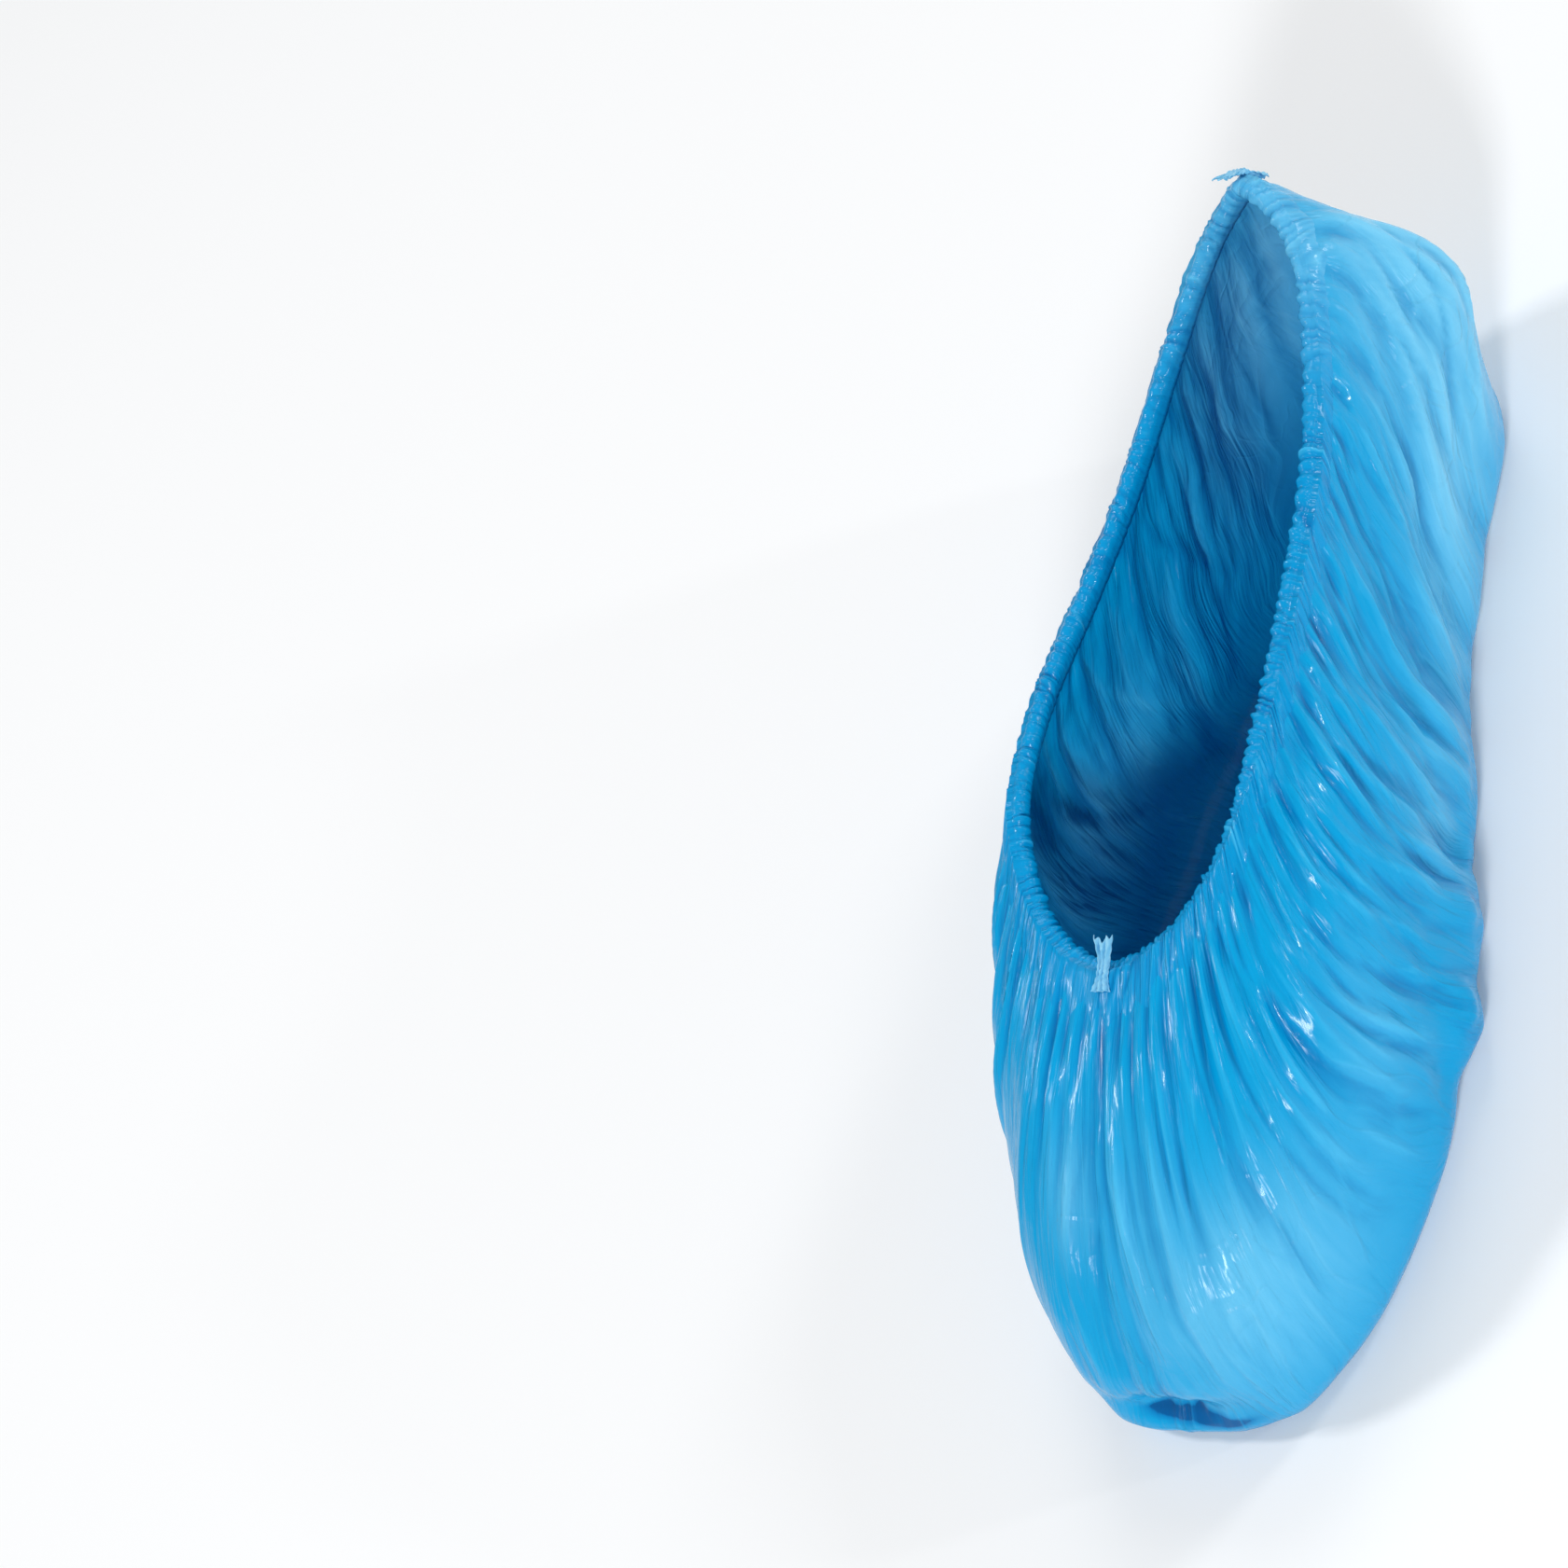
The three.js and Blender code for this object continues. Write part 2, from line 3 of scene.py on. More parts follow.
import bpy
import numpy as np
from mathutils import Matrix, Vector


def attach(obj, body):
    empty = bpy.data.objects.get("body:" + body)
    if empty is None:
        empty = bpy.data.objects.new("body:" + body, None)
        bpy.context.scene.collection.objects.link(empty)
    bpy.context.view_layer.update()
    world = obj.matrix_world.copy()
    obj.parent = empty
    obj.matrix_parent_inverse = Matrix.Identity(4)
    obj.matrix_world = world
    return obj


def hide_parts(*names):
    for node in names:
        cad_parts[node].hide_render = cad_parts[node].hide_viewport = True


# A blue film shoe cover for a right foot in the form that it has when worn, with its toe towards -Y.
# Sizes in the dictionaries are millimetres unless a note says otherwise.

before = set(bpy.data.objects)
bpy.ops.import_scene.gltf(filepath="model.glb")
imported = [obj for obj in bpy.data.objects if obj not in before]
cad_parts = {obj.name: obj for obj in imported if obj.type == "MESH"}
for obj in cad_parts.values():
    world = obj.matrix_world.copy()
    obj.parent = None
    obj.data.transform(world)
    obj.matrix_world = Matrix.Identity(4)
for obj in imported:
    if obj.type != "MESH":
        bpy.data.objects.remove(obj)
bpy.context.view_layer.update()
full = 2 * math.pi  # a full turn in radians
mm = 0.001
seamGap = 0.02  # edges of a sheet that lie this near to each other are joined
nudge = 0.001  # step to each side, in turns or shares of the side, from which a direction is taken
print("frame loaded")


def deselectAll():
    if bpy.context.object and bpy.context.object.mode != "OBJECT":
        bpy.ops.object.mode_set(mode="OBJECT")
    bpy.ops.object.select_all(action="DESELECT")


def makeActive(piece):
    deselectAll()
    piece.select_set(True)
    bpy.context.view_layer.objects.active = piece


def thicken(piece, thickness, offset):
    modifier = piece.modifiers.new("filmThickness", "SOLIDIFY")
    modifier.thickness = thickness * mm
    modifier.offset = offset
    makeActive(piece)
    bpy.ops.object.modifier_apply(modifier=modifier.name)


def hexColour(text):  # sRGB hex to the linear values that Blender mixes
    parts = [int(text[i:i + 2], 16) / 255 for i in (1, 3, 5)]
    linear = [p / 12.92 if p <= 0.04045 else ((p + 0.055) / 1.055) ** 2.4 for p in parts]
    return (*linear, 1.0)


def wrapGrid(name, columns, rows, points, values, flow):
    # A flat sheet of film is added as a grid, then each of its points goes to its place on the form.
    # points has rows + 1 by columns + 1 places in millimetres, and values the same of each attribute.
    # flow is the length across and along the pleats there, which the film's patterns follow.
    deselectAll()
    bpy.ops.mesh.primitive_grid_add(x_subdivisions=columns, y_subdivisions=rows, size=2)
    piece = bpy.context.object
    piece.name = name
    mesh = piece.data
    mesh.name = name
    flat = np.empty(len(mesh.vertices) * 3, np.float32)
    mesh.vertices.foreach_get("co", flat)
    flat = flat.reshape(-1, 3)
    column = np.rint((flat[:, 0] + 1) / 2 * columns).astype(int)
    row = np.rint((flat[:, 1] + 1) / 2 * rows).astype(int)
    mesh.vertices.foreach_set("co", (points[row, column] * mm).astype(np.float32).ravel())
    for key, grid in values.items():
        layer = mesh.attributes.new(key, "FLOAT", "POINT")
        layer.data.foreach_set("value", grid[row, column].astype(np.float32))
    corners = np.empty(len(mesh.loops), np.int32)
    mesh.loops.foreach_get("vertex_index", corners)
    laid = (flow[row, column][corners] * mm).astype(np.float32)
    mesh.uv_layers[0].name = "flow"
    mesh.uv_layers[0].uv.foreach_set("vector", laid.ravel())
    mesh.update()
    return piece


def closeSeam(piece):
    # Joins the two edges at which a sheet that was laid round the form meets itself.
    makeActive(piece)
    bpy.ops.object.mode_set(mode="EDIT")
    bpy.ops.mesh.select_all(action="SELECT")
    bpy.ops.mesh.remove_doubles(threshold=seamGap * mm)
    bpy.ops.object.mode_set(mode="OBJECT")


bag = {
    "soleLength": 306,
    "ballWidth": 116,
    "toeReach": 153,
    "mouthLength": 217,
    "mouthWidth": 78,
    "mouthHeight": 85,
    "toeCover": 95,
    "film": 1.2,  # wall of the solid that this film stands for, which sets where the sole lies
    "cornerRadius": 9,
    "soleMiddle": 0.86,  # length of the line along the sole's middle as a share of the sole
    "soleWrinkle": 0.25,
    "soleWaves": (70, 3, 9),  # wrinkles round the sole, how far they stray in radians, and how often
    "soleRise": 8,  # they reach their height at one part in so many of the way inwards
    "columns": 560,
    "sideRows": 70,
    "rowsUp": 1.15,  # above 1 the rows lie closer towards the hem
    "cornerRows": 5,
    "soleRows": 10,
    "sheetThickness": 0.12,
    "foldDepth": 3.4,
    "foldShare": 0.22,  # how much of the long folds is left once the film is drawn into pleats
    "valleyWidth": 0.9,  # of a fold that goes in, as a share of one that stands out
    "dentDepth": 6,
    "seamRidge": 0.7,
    "seamHalf": 0.0035,  # half width of the seam's ridge, in turns
    "reliefAtHem": 0.5,  # share of the folds' height that is left at the hem and at the sole's edge
    "reliefAtSole": 0.6,
    "reliefRise": 0.12,  # share of the side over which they would rise from nothing to their height
    "patternUnder": 0.9,  # how far the film's pattern runs on under the sole, as a share of the side
    # one point of each line round the bag: the sole's edge, the mouth, and the belly between them
    "stationNames": ("turn", "soleX", "soleY", "rimX", "rimY", "rimZ", "bellyOut", "bellyZ"),
    "stations": [
        (0.0, 0.0, 0.0, 0.0, 0.0, 0.9, 0.94, 0.74),
        (0.04, 0.37, 0.006, 0.31, 0.016, 0.915, 0.96, 0.75),
        (0.08, 0.65, 0.042, 0.57, 0.055, 0.935, 0.965, 0.75),
        (0.13, 0.9, 0.13, 0.81, 0.122, 0.965, 0.95, 0.72),
        (0.18, 1.02, 0.245, 0.97, 0.21, 1.0, 0.99, 0.69),
        (0.25, 0.995, 0.395, 1.0, 0.349, 0.996, 1.06, 0.68),
        (0.31, 0.84, 0.525, 0.92, 0.49, 0.955, 1.08, 0.6),
        (0.365, 0.635, 0.675, 0.81, 0.65, 0.93, 1.1, 0.58),
        (0.415, 0.57, 0.82, 0.65, 0.79, 0.965, 1.22, 0.74),
        (0.45, 0.54, 0.92, 0.47, 0.9, 1.02, 1.3, 0.82),
        (0.478, 0.35, 0.98, 0.26, 0.968, 1.075, 1.22, 0.78),
        (0.5, 0.0, 1.0, 0.0, 1.0, 1.12, 1.12, 0.74),
        (0.522, -0.34, 0.978, -0.26, 0.968, 1.075, 1.13, 0.68),
        (0.55, -0.53, 0.91, -0.47, 0.9, 1.02, 1.12, 0.6),
        (0.585, -0.58, 0.815, -0.65, 0.79, 0.965, 1.06, 0.55),
        (0.635, -0.69, 0.67, -0.81, 0.65, 0.92, 1.06, 0.58),
        (0.69, -0.84, 0.52, -0.92, 0.49, 0.94, 1.06, 0.6),
        (0.75, -0.95, 0.39, -1.0, 0.349, 0.98, 1.04, 0.67),
        (0.82, -0.94, 0.25, -0.97, 0.21, 0.99, 0.99, 0.69),
        (0.87, -0.82, 0.14, -0.81, 0.122, 0.96, 0.94, 0.71),
        (0.92, -0.57, 0.054, -0.57, 0.055, 0.93, 0.955, 0.74),
        (0.96, -0.36, 0.01, -0.31, 0.016, 0.91, 0.96, 0.75),
    ],
    # soft rounds: turn, down, half width, half height, depth as a share of dentDepth
    "dents": [
        (0.465, 0.33, 0.055, 0.23, -0.72),  # slope behind the heel
        (0.0, 0.93, 0.03, 0.05, -1.05),  # tuck under the toe
        (0.012, 0.82, 0.035, 0.06, 0.35),
        (0.07, 0.6, 0.045, 0.2, 0.5),  # over the toe cap
        (0.93, 0.55, 0.04, 0.22, 0.2),
        (0.232, 0.99, 0.012, 0.1, 1.0),  # loose corner beside the ball
        (0.208, 0.97, 0.011, 0.09, -0.6),
        (0.275, 0.95, 0.012, 0.12, 0.5),
        (0.3, 0.9, 0.012, 0.12, -0.4),
        (0.34, 0.85, 0.025, 0.2, 0.35),
        (0.4, 0.75, 0.03, 0.2, -0.35),
        (0.45, 0.62, 0.025, 0.16, 0.3),  # slack behind the heel
        (0.545, 0.6, 0.02, 0.2, 0.4),
        (0.64, 0.75, 0.03, 0.2, -0.4),
        (0.72, 0.88, 0.02, 0.15, 0.5),
        (0.8, 0.9, 0.015, 0.12, -0.4),
    ],
    # long folds: turn at the hem, lean, depth as a share of foldDepth, half width, middle, spread
    "folds": [
        (0.0, 0.03, 0.4, 0.009, 0.15, 0.35),
        (0.022, 0.01, -0.5, 0.01, 0.25, 0.3),
        (0.046, 0.012, 0.5, 0.012, 0.25, 0.3),
        (0.072, 0.02, -0.65, 0.012, 0.3, 0.33),
        (0.096, 0.045, 0.7, 0.013, 0.4, 0.4),
        (0.118, 0.05, -0.8, 0.013, 0.45, 0.4),
        (0.14, 0.055, 0.8, 0.013, 0.5, 0.4),
        (0.163, 0.055, -0.85, 0.013, 0.5, 0.4),
        (0.186, 0.055, 0.95, 0.013, 0.55, 0.4),
        (0.212, 0.05, -0.9, 0.013, 0.5, 0.4),
        (0.238, 0.045, 0.8, 0.013, 0.55, 0.38),
        (0.265, 0.04, -0.8, 0.013, 0.5, 0.35),
        (0.292, 0.035, 0.75, 0.013, 0.5, 0.35),
        (0.322, 0.025, -0.7, 0.013, 0.5, 0.35),
        (0.352, 0.02, 0.8, 0.013, 0.55, 0.35),
        (0.384, 0.01, -0.65, 0.013, 0.45, 0.32),
        (0.416, 0.0, 0.8, 0.014, 0.55, 0.32),
        (0.447, -0.01, -0.6, 0.012, 0.45, 0.3),
        (0.475, -0.01, 0.5, 0.01, 0.4, 0.3),
        (0.5, 0.0, 0.2, 0.008, 0.3, 0.4),
        (0.527, 0.0, -0.55, 0.011, 0.45, 0.33),
        (0.556, -0.005, 0.75, 0.013, 0.55, 0.32),
        (0.59, -0.01, -0.7, 0.013, 0.45, 0.34),
        (0.624, -0.015, 0.8, 0.014, 0.55, 0.35),
        (0.66, -0.02, -0.75, 0.013, 0.5, 0.35),
        (0.694, -0.03, 0.8, 0.014, 0.55, 0.35),
        (0.728, -0.035, -0.75, 0.013, 0.45, 0.35),
        (0.76, -0.04, 0.85, 0.013, 0.55, 0.38),
        (0.79, -0.045, -0.8, 0.013, 0.5, 0.38),
        (0.82, -0.05, 0.8, 0.013, 0.5, 0.4),
        (0.85, -0.045, -0.75, 0.013, 0.45, 0.4),
        (0.88, -0.04, 0.7, 0.013, 0.4, 0.4),
        (0.91, -0.03, -0.6, 0.012, 0.35, 0.35),
        (0.937, -0.02, 0.5, 0.012, 0.3, 0.33),
        (0.962, -0.01, -0.5, 0.011, 0.3, 0.3),
    ],
}


def closedCubic(name, turns):
    # Smooth closed curve through one column of the stations, read at each turn.
    column = bag["stationNames"].index(name)
    knots = np.array([row[0] for row in bag["stations"]])
    heights = np.array([row[column] for row in bag["stations"]])
    count = len(knots)
    place = np.mod(turns, 1.0)
    start = np.searchsorted(knots, place, side="right") - 1

    def knot(step):
        index = start + step
        return knots[index % count] + index // count

    def height(step):
        return heights[(start + step) % count]

    span = knot(1) - knot(0)
    share = (place - knot(0)) / span
    startSlope = (height(1) - height(-1)) / (knot(1) - knot(-1)) * span
    endSlope = (height(2) - height(0)) / (knot(2) - knot(0)) * span
    return (
        (2 * share**3 - 3 * share**2 + 1) * height(0)
        + (share**3 - 2 * share**2 + share) * startSlope
        + (3 * share**2 - 2 * share**3) * height(1)
        + (share**3 - share**2) * endSlope
    )


def soleEdge(turns):
    across = closedCubic("soleX", turns) * bag["ballWidth"] / 2
    along = closedCubic("soleY", turns) * bag["soleLength"] - bag["toeReach"]
    return np.stack([across, along, np.full_like(across, bag["cornerRadius"] - bag["film"])], -1)


def mouthLine(turns):
    across = closedCubic("rimX", turns) * bag["mouthWidth"] / 2
    along = closedCubic("rimY", turns) * bag["mouthLength"] + bag["toeCover"] - bag["toeReach"]
    return np.stack([across, along, closedCubic("rimZ", turns) * bag["mouthHeight"]], -1)


def smoothSide(turns, down):
    # The bag's side without its folds, bent over the belly between mouth and sole.
    rim, edge = mouthLine(turns), soleEdge(turns)
    out = closedCubic("bellyOut", turns)
    high = closedCubic("bellyZ", turns) * bag["mouthHeight"]
    belly = np.stack([edge[..., 0] * out, edge[..., 1] * out, high], -1)
    share = down[..., None]
    return (1 - share) ** 2 * rim + 2 * share * (1 - share) * belly + share**2 * edge


def unit(vectors):
    return vectors / np.linalg.norm(vectors, axis=-1, keepdims=True)


def outward(turns, down):
    around = smoothSide(turns + nudge, down) - smoothSide(turns - nudge, down)
    low = np.minimum(down + nudge, 1)
    fall = smoothSide(turns, low) - smoothSide(turns, low - 2 * nudge)
    return unit(np.cross(fall, around))


def mouthFrame(turns):
    # Directions along the hem, out of the bag and up, at the line of the mouth.
    along = unit(mouthLine(turns + nudge) - mouthLine(turns - nudge))
    fall = smoothSide(turns, np.full_like(turns, nudge)) - mouthLine(turns)
    out = unit(np.cross(fall, along))
    return along, out, unit(np.cross(out, along))


def roundTo(turns, other):
    # The shorter way round from other to turns.
    gap = turns - other
    return gap - np.rint(gap)


def bell(offset, half):
    return np.exp(-((offset / half) ** 2))


def wave(turns, count, drift=0, down=0, start=0):
    # A sine with so many waves round the bag, which drifts sideways on its way down.
    return np.sin(full * count * turns + drift * down + start)


pleats = {
    "seed": 11,
    "wander": 0.0035,  # how far a pleat strays, in turns
    # waves in which it strays: share, how many round the bag, drift and start in radians
    "strays": [(1, 7, 3.1, 0), (0.6, 17, -7, 1), (0.4, 31, 11, 2)],
    # how far the pleats lean back over the side: turn, and lean in turns from hem to sole
    "lean": [
        (0, 0.004),
        (0.05, 0.014),
        (0.1, 0.038),
        (0.15, 0.052),
        (0.2, 0.05),
        (0.24, 0.045),
        (0.28, 0.025),
        (0.32, 0.002),
        (0.36, -0.015),
        (0.41, -0.035),
        (0.46, -0.035),
        (0.5, -0.005),
    ],
    # rows of facets: how many round the bag, height, where strongest as a share of the side, and the
    # spread above and below
    "facets": [
        (230, 1.0, 0.0, 0.1, 0.09),
        (140, 1.5, 0.09, 0.1, 0.13),
        (100, 1.5, 0.2, 0.16, 0.2),
        (70, 1.5, 0.46, 0.26, 0.28),
        (44, 1.1, 0.84, 0.3, 0.3),
    ],
    "facetStray": 0.4,  # how far a crest strays sideways, as a share of the distance between two
    "facetLeast": 0.15,  # the lowest crest as a share of the highest
    "patchy": 0.25,  # share of the facets' height that comes and goes in patches
    # loose creases: how many, shortest and longest, half width, height
    "creases": [
        (200, 0.12, 0.4, 1.6, 1.0),
        (150, 0.3, 0.75, 1.8, 1.3),
        (70, 0.6, 0.98, 2.1, 1.5),
    ],
    "creaseUp": 1.7,  # above 1 more of them start near the hem
    "creaseStray": 0.014,  # how far their lean differs from the pleats', in turns from hem to sole
    "creaseWidths": (0.7, 1.2),  # shares of the half width and the height above that they may have
    "creaseHeights": (0.35, 1),
    "creaseSigns": [1, 1, -1],  # two stand out for each that goes in
    "creaseEnds": 0.6,  # below 1 a crease keeps its height for longer towards its ends
    "creaseReach": 5,  # half widths to which a crease is followed sideways
    "crestRound": 0.12,  # of a crease's section: how round its top is, how steep its sides,
    "crestSteep": 1.6,
    "crestTop": 0.55,  # and what brings its top to a height of about 1
    "across": 700,  # girth of the bag that a full turn stands for
    "tall": 105,
    "crumpleWide": 9.5,
    "crumpleTall": 26,
    "crumpleHigh": 1.6,
    "crumpleUneven": 0.35,
    "crumpleFrom": 0.15,  # share of the side below which the film is crumpled in full
    "crumpleSeed": 5,
    # where the film is drawn smooth: turn, down, half width, half height, share taken off
    "calm": [
        (0.075, 0.66, 0.05, 0.2, 0.8),
        (0.12, 0.95, 0.08, 0.12, 0.55),
        (0.955, 0.7, 0.05, 0.25, 0.45),
        (0.93, 0.4, 0.04, 0.25, 0.4),
        (0.45, 0.45, 0.05, 0.35, 0.15),
        (0.455, 0.15, 0.05, 0.12, 0.45),
        (0.9, 0.5, 0.05, 0.4, 0.35),
        (0.55, 0.5, 0.05, 0.35, 0.15),
    ],
    "calmMost": 0.85,
    # painted shade and highlight of a crease: columns to each side that it is compared with, weight of its
    # height over them and of its height as such, and the limit that the sum nears
    "toneReach": 6,
    "toneOver": 1.3,
    "toneHeight": 0.15,
    "toneLimit": 1.6,
}

# Creases that stand out: turn and down at the start, turn and down at the end, half width, height
marks = [
    (0.0, 0.1, 0.006, 0.62, 1.7, 0.9),  # along the toe seam
    (0.006, 0.6, 0.99, 0.9, 1.6, 0.8),
    (0.975, 0.3, 0.965, 0.62, 2.2, 1.1),
    (0.987, 0.28, 0.98, 0.55, 1.8, -1.0),
    (0.018, 0.25, 0.022, 0.5, 2.2, 1.1),
    (0.03, 0.06, 0.036, 0.5, 1.8, -1.3),
    (0.048, 0.05, 0.055, 0.52, 1.9, -1.4),
    (0.062, 0.1, 0.075, 0.6, 2.0, 1.2),
    (0.075, 0.05, 0.1, 0.62, 1.9, -1.4),
    (0.092, 0.1, 0.118, 0.66, 2.0, 1.2),
    (0.1, 0.05, 0.14, 0.85, 2.1, -1.8),
    (0.112, 0.08, 0.155, 0.8, 2.0, 1.4),
    (0.125, 0.05, 0.18, 0.75, 2.1, -1.7),
    (0.137, 0.1, 0.192, 0.9, 2.0, 1.4),
    (0.15, 0.05, 0.21, 0.88, 2.2, -1.9),
    (0.16, 0.15, 0.222, 0.95, 2.2, 1.5),
    (0.17, 0.05, 0.24, 0.92, 2.2, -1.8),
    (0.19, 0.08, 0.252, 0.75, 2.2, 1.5),
    (0.205, 0.05, 0.258, 0.86, 2.2, -1.9),
    (0.222, 0.1, 0.275, 0.8, 2.2, 1.7),
    (0.24, 0.05, 0.285, 0.92, 2.2, -1.8),
    (0.258, 0.1, 0.296, 0.7, 2.1, 1.6),
    (0.275, 0.06, 0.3, 0.86, 2.2, -1.8),
    (0.298, 0.1, 0.312, 0.9, 2.2, 1.6),
    (0.318, 0.06, 0.326, 0.7, 2.2, -1.7),
    (0.345, 0.08, 0.334, 0.9, 2.2, 1.7),
    (0.37, 0.05, 0.352, 0.75, 2.2, -1.7),
    (0.395, 0.12, 0.368, 0.86, 2.3, 1.6),
    (0.42, 0.1, 0.385, 0.92, 2.3, -1.6),
    (0.44, 0.25, 0.395, 0.8, 2.2, 1.6),  # bright lines over the heel
    (0.455, 0.15, 0.42, 0.6, 2.0, 1.5),
    (0.47, 0.3, 0.425, 0.8, 2.0, -1.4),
    (0.485, 0.2, 0.45, 0.9, 2.0, 1.3),
    (0.478, 0.55, 0.43, 0.95, 2.0, 1.2),
    (0.465, 0.06, 0.462, 0.3, 2.2, 1.0),  # gathers that stand out at the back of the mouth
    (0.474, 0.05, 0.473, 0.26, 2.0, 0.9),
    (0.452, 0.05, 0.449, 0.28, 2.0, 0.9),
    (0.968, 0.93, 0.04, 0.965, 2.6, -2.6),  # the tuck under the toe
    (0.985, 0.9, 0.036, 0.925, 2.4, 2.6),
    (0.984, 0.95, 0.03, 0.99, 2.0, -1.8),
    (0.0, 0.93, 0.035, 0.8, 2.0, 1.2),  # fan out of the tuck
    (0.99, 0.93, 0.012, 0.74, 1.8, 1.0),
    (0.985, 0.94, 0.965, 0.8, 2.0, 0.9),
    (0.004, 0.95, 0.06, 0.9, 1.9, -1.0),
    (0.58, 0.08, 0.56, 0.8, 2.2, 1.2),
    (0.63, 0.05, 0.6, 0.85, 2.2, -1.5),
    (0.69, 0.05, 0.64, 0.9, 2.2, 1.5),
    (0.74, 0.06, 0.68, 0.85, 2.2, -1.7),
    (0.78, 0.05, 0.72, 0.9, 2.2, 1.5),
    (0.82, 0.05, 0.76, 0.85, 2.1, -1.7),
    (0.86, 0.06, 0.81, 0.8, 2.0, 1.4),
    (0.895, 0.05, 0.86, 0.75, 2.0, -1.5),
    (0.925, 0.06, 0.905, 0.6, 1.9, 1.2),
]


# Painted shade where folds lie deep, in the tuck under the toe and below the hem: turn, down, half width,
# half height, amount in millimetres of fold.
paintedShadeSpots = [
    (0.988, 0.955, 0.01, 0.012, 3.2),  # the tuck under the toe
    (0.002, 0.966, 0.012, 0.013, 4.2),
    (0.017, 0.977, 0.012, 0.013, 4.2),
    (0.031, 0.986, 0.01, 0.012, 3.4),
    (0.012, 0.88, 0.004, 0.06, 1.6),
    (0.023, 0.9, 0.003, 0.05, 1.4),
    (0.994, 0.89, 0.004, 0.05, 1.4),
    (0.02, 0.1, 0.08, 0.07, 0.9),
    (0.17, 0.07, 0.07, 0.06, 0.8),
    (0.3, 0.08, 0.08, 0.08, 0.9),
    (0.85, 0.1, 0.1, 0.07, 0.8),
    (0.65, 0.1, 0.1, 0.07, 0.8),
]

# Where the film lies flat on what is under it and looks paler, partly a painted highlight on the toe cap and
# a painted sheen on the heel: turn, down, half width, half height, share.
paleSpots = [
    (0.075, 0.62, 0.05, 0.16, 0.75),
    (0.09, 0.85, 0.07, 0.2, 0.45),
    (0.03, 0.4, 0.03, 0.14, 0.25),
    (0.98, 0.36, 0.016, 0.12, 0.5),
    (0.47, 0.35, 0.05, 0.4, 1.0),
    (0.43, 0.75, 0.05, 0.3, 0.8),
    (0.38, 0.9, 0.05, 0.2, 0.35),
    (0.19, 0.6, 0.03, 0.2, 0.25),
    (0.3, 0.75, 0.03, 0.2, 0.3),
    (0.54, 0.5, 0.04, 0.4, 0.6),
    (0.7, 0.7, 0.05, 0.25, 0.3),
    (0.88, 0.7, 0.05, 0.2, 0.4),
]


def pinch(offset, half):
    # A crease of film: a sharp crest that runs out softly on both sides.
    fall = np.sqrt((offset / half) ** 2 + pleats["crestRound"]) * pleats["crestSteep"]
    return np.exp(-fall + pleats["crestTop"])


def leanAt(turns):
    side = roundTo(turns, 0)
    knots, leans = zip(*pleats["lean"])
    return np.sign(side) * np.interp(np.abs(side), knots, leans)


def pleatTurn(turns, down):
    # The turn at which the pleat through this place leaves the hem.
    start = turns - leanAt(turns) * down
    start = turns - leanAt(start) * down
    stray = sum(
        share * wave(turns, count, drift, down, begin) for share, count, drift, begin in pleats["strays"])
    return start + pleats["wander"] * stray * down


def facetLine(place, count, dice):
    # A closed line of straight facets between crests and valleys at uneven distances.
    order = np.arange(count)
    spots = (order + dice.uniform(-pleats["facetStray"], pleats["facetStray"], count)) / count
    heights = np.where(order % 2, 1, -1) * dice.uniform(pleats["facetLeast"], 1, count)
    spots = np.concatenate([spots[-1:] - 1, spots, spots[:1] + 1])
    return np.interp(np.mod(place, 1), spots, np.concatenate([heights[-1:], heights, heights[:1]]))


def crumple(place, down, dice):
    # Flat facets of crumpled film, long in the way of the pleats.
    around = int(pleats["across"] / pleats["crumpleWide"])
    low = pleats["tall"] / pleats["crumpleTall"]
    count = int(around * low)
    spots = np.stack([dice.uniform(0, around, count), dice.uniform(0, low, count)], -1)
    uneven = pleats["crumpleUneven"]
    lift = dice.uniform(-uneven, uneven, count)
    across = np.mod(place, 1)[..., None] * around - spots[:, 0]
    across -= np.rint(across / around) * around
    gap = np.sqrt(across**2 + (down[..., None] * low - spots[:, 1]) ** 2) + lift
    return np.min(gap, -1) - uneven


def creaseList():
    # The marks, and the loose creases in the same form.
    dice = np.random.RandomState(pleats["seed"])
    made = list(marks)
    for count, shortest, longest, half, high in pleats["creases"]:
        for k in range(count):
            turn = (k + dice.uniform(-0.5, 0.5)) / count
            long = dice.uniform(shortest, longest)
            top = dice.uniform(0, 1) ** pleats["creaseUp"] * (1 - long)
            lean = float(leanAt(np.array(turn))) + dice.uniform(-pleats["creaseStray"], pleats["creaseStray"])
            first = turn + lean * top
            wide = half * dice.uniform(*pleats["creaseWidths"])
            rise = high * dice.uniform(*pleats["creaseHeights"]) * dice.choice(pleats["creaseSigns"])
            made.append((first, top, first + lean * long, top + long, wide, rise))
    return made


def bySpots(turns, down, spots):
    # Sum of soft round spots: turn, down, half width, half height, share.
    total = np.zeros(np.broadcast(turns, down).shape)
    for turn, low, wide, tall, share in spots:
        total += share * bell(roundTo(turns, turn), wide) * bell(down - low, tall)
    return total


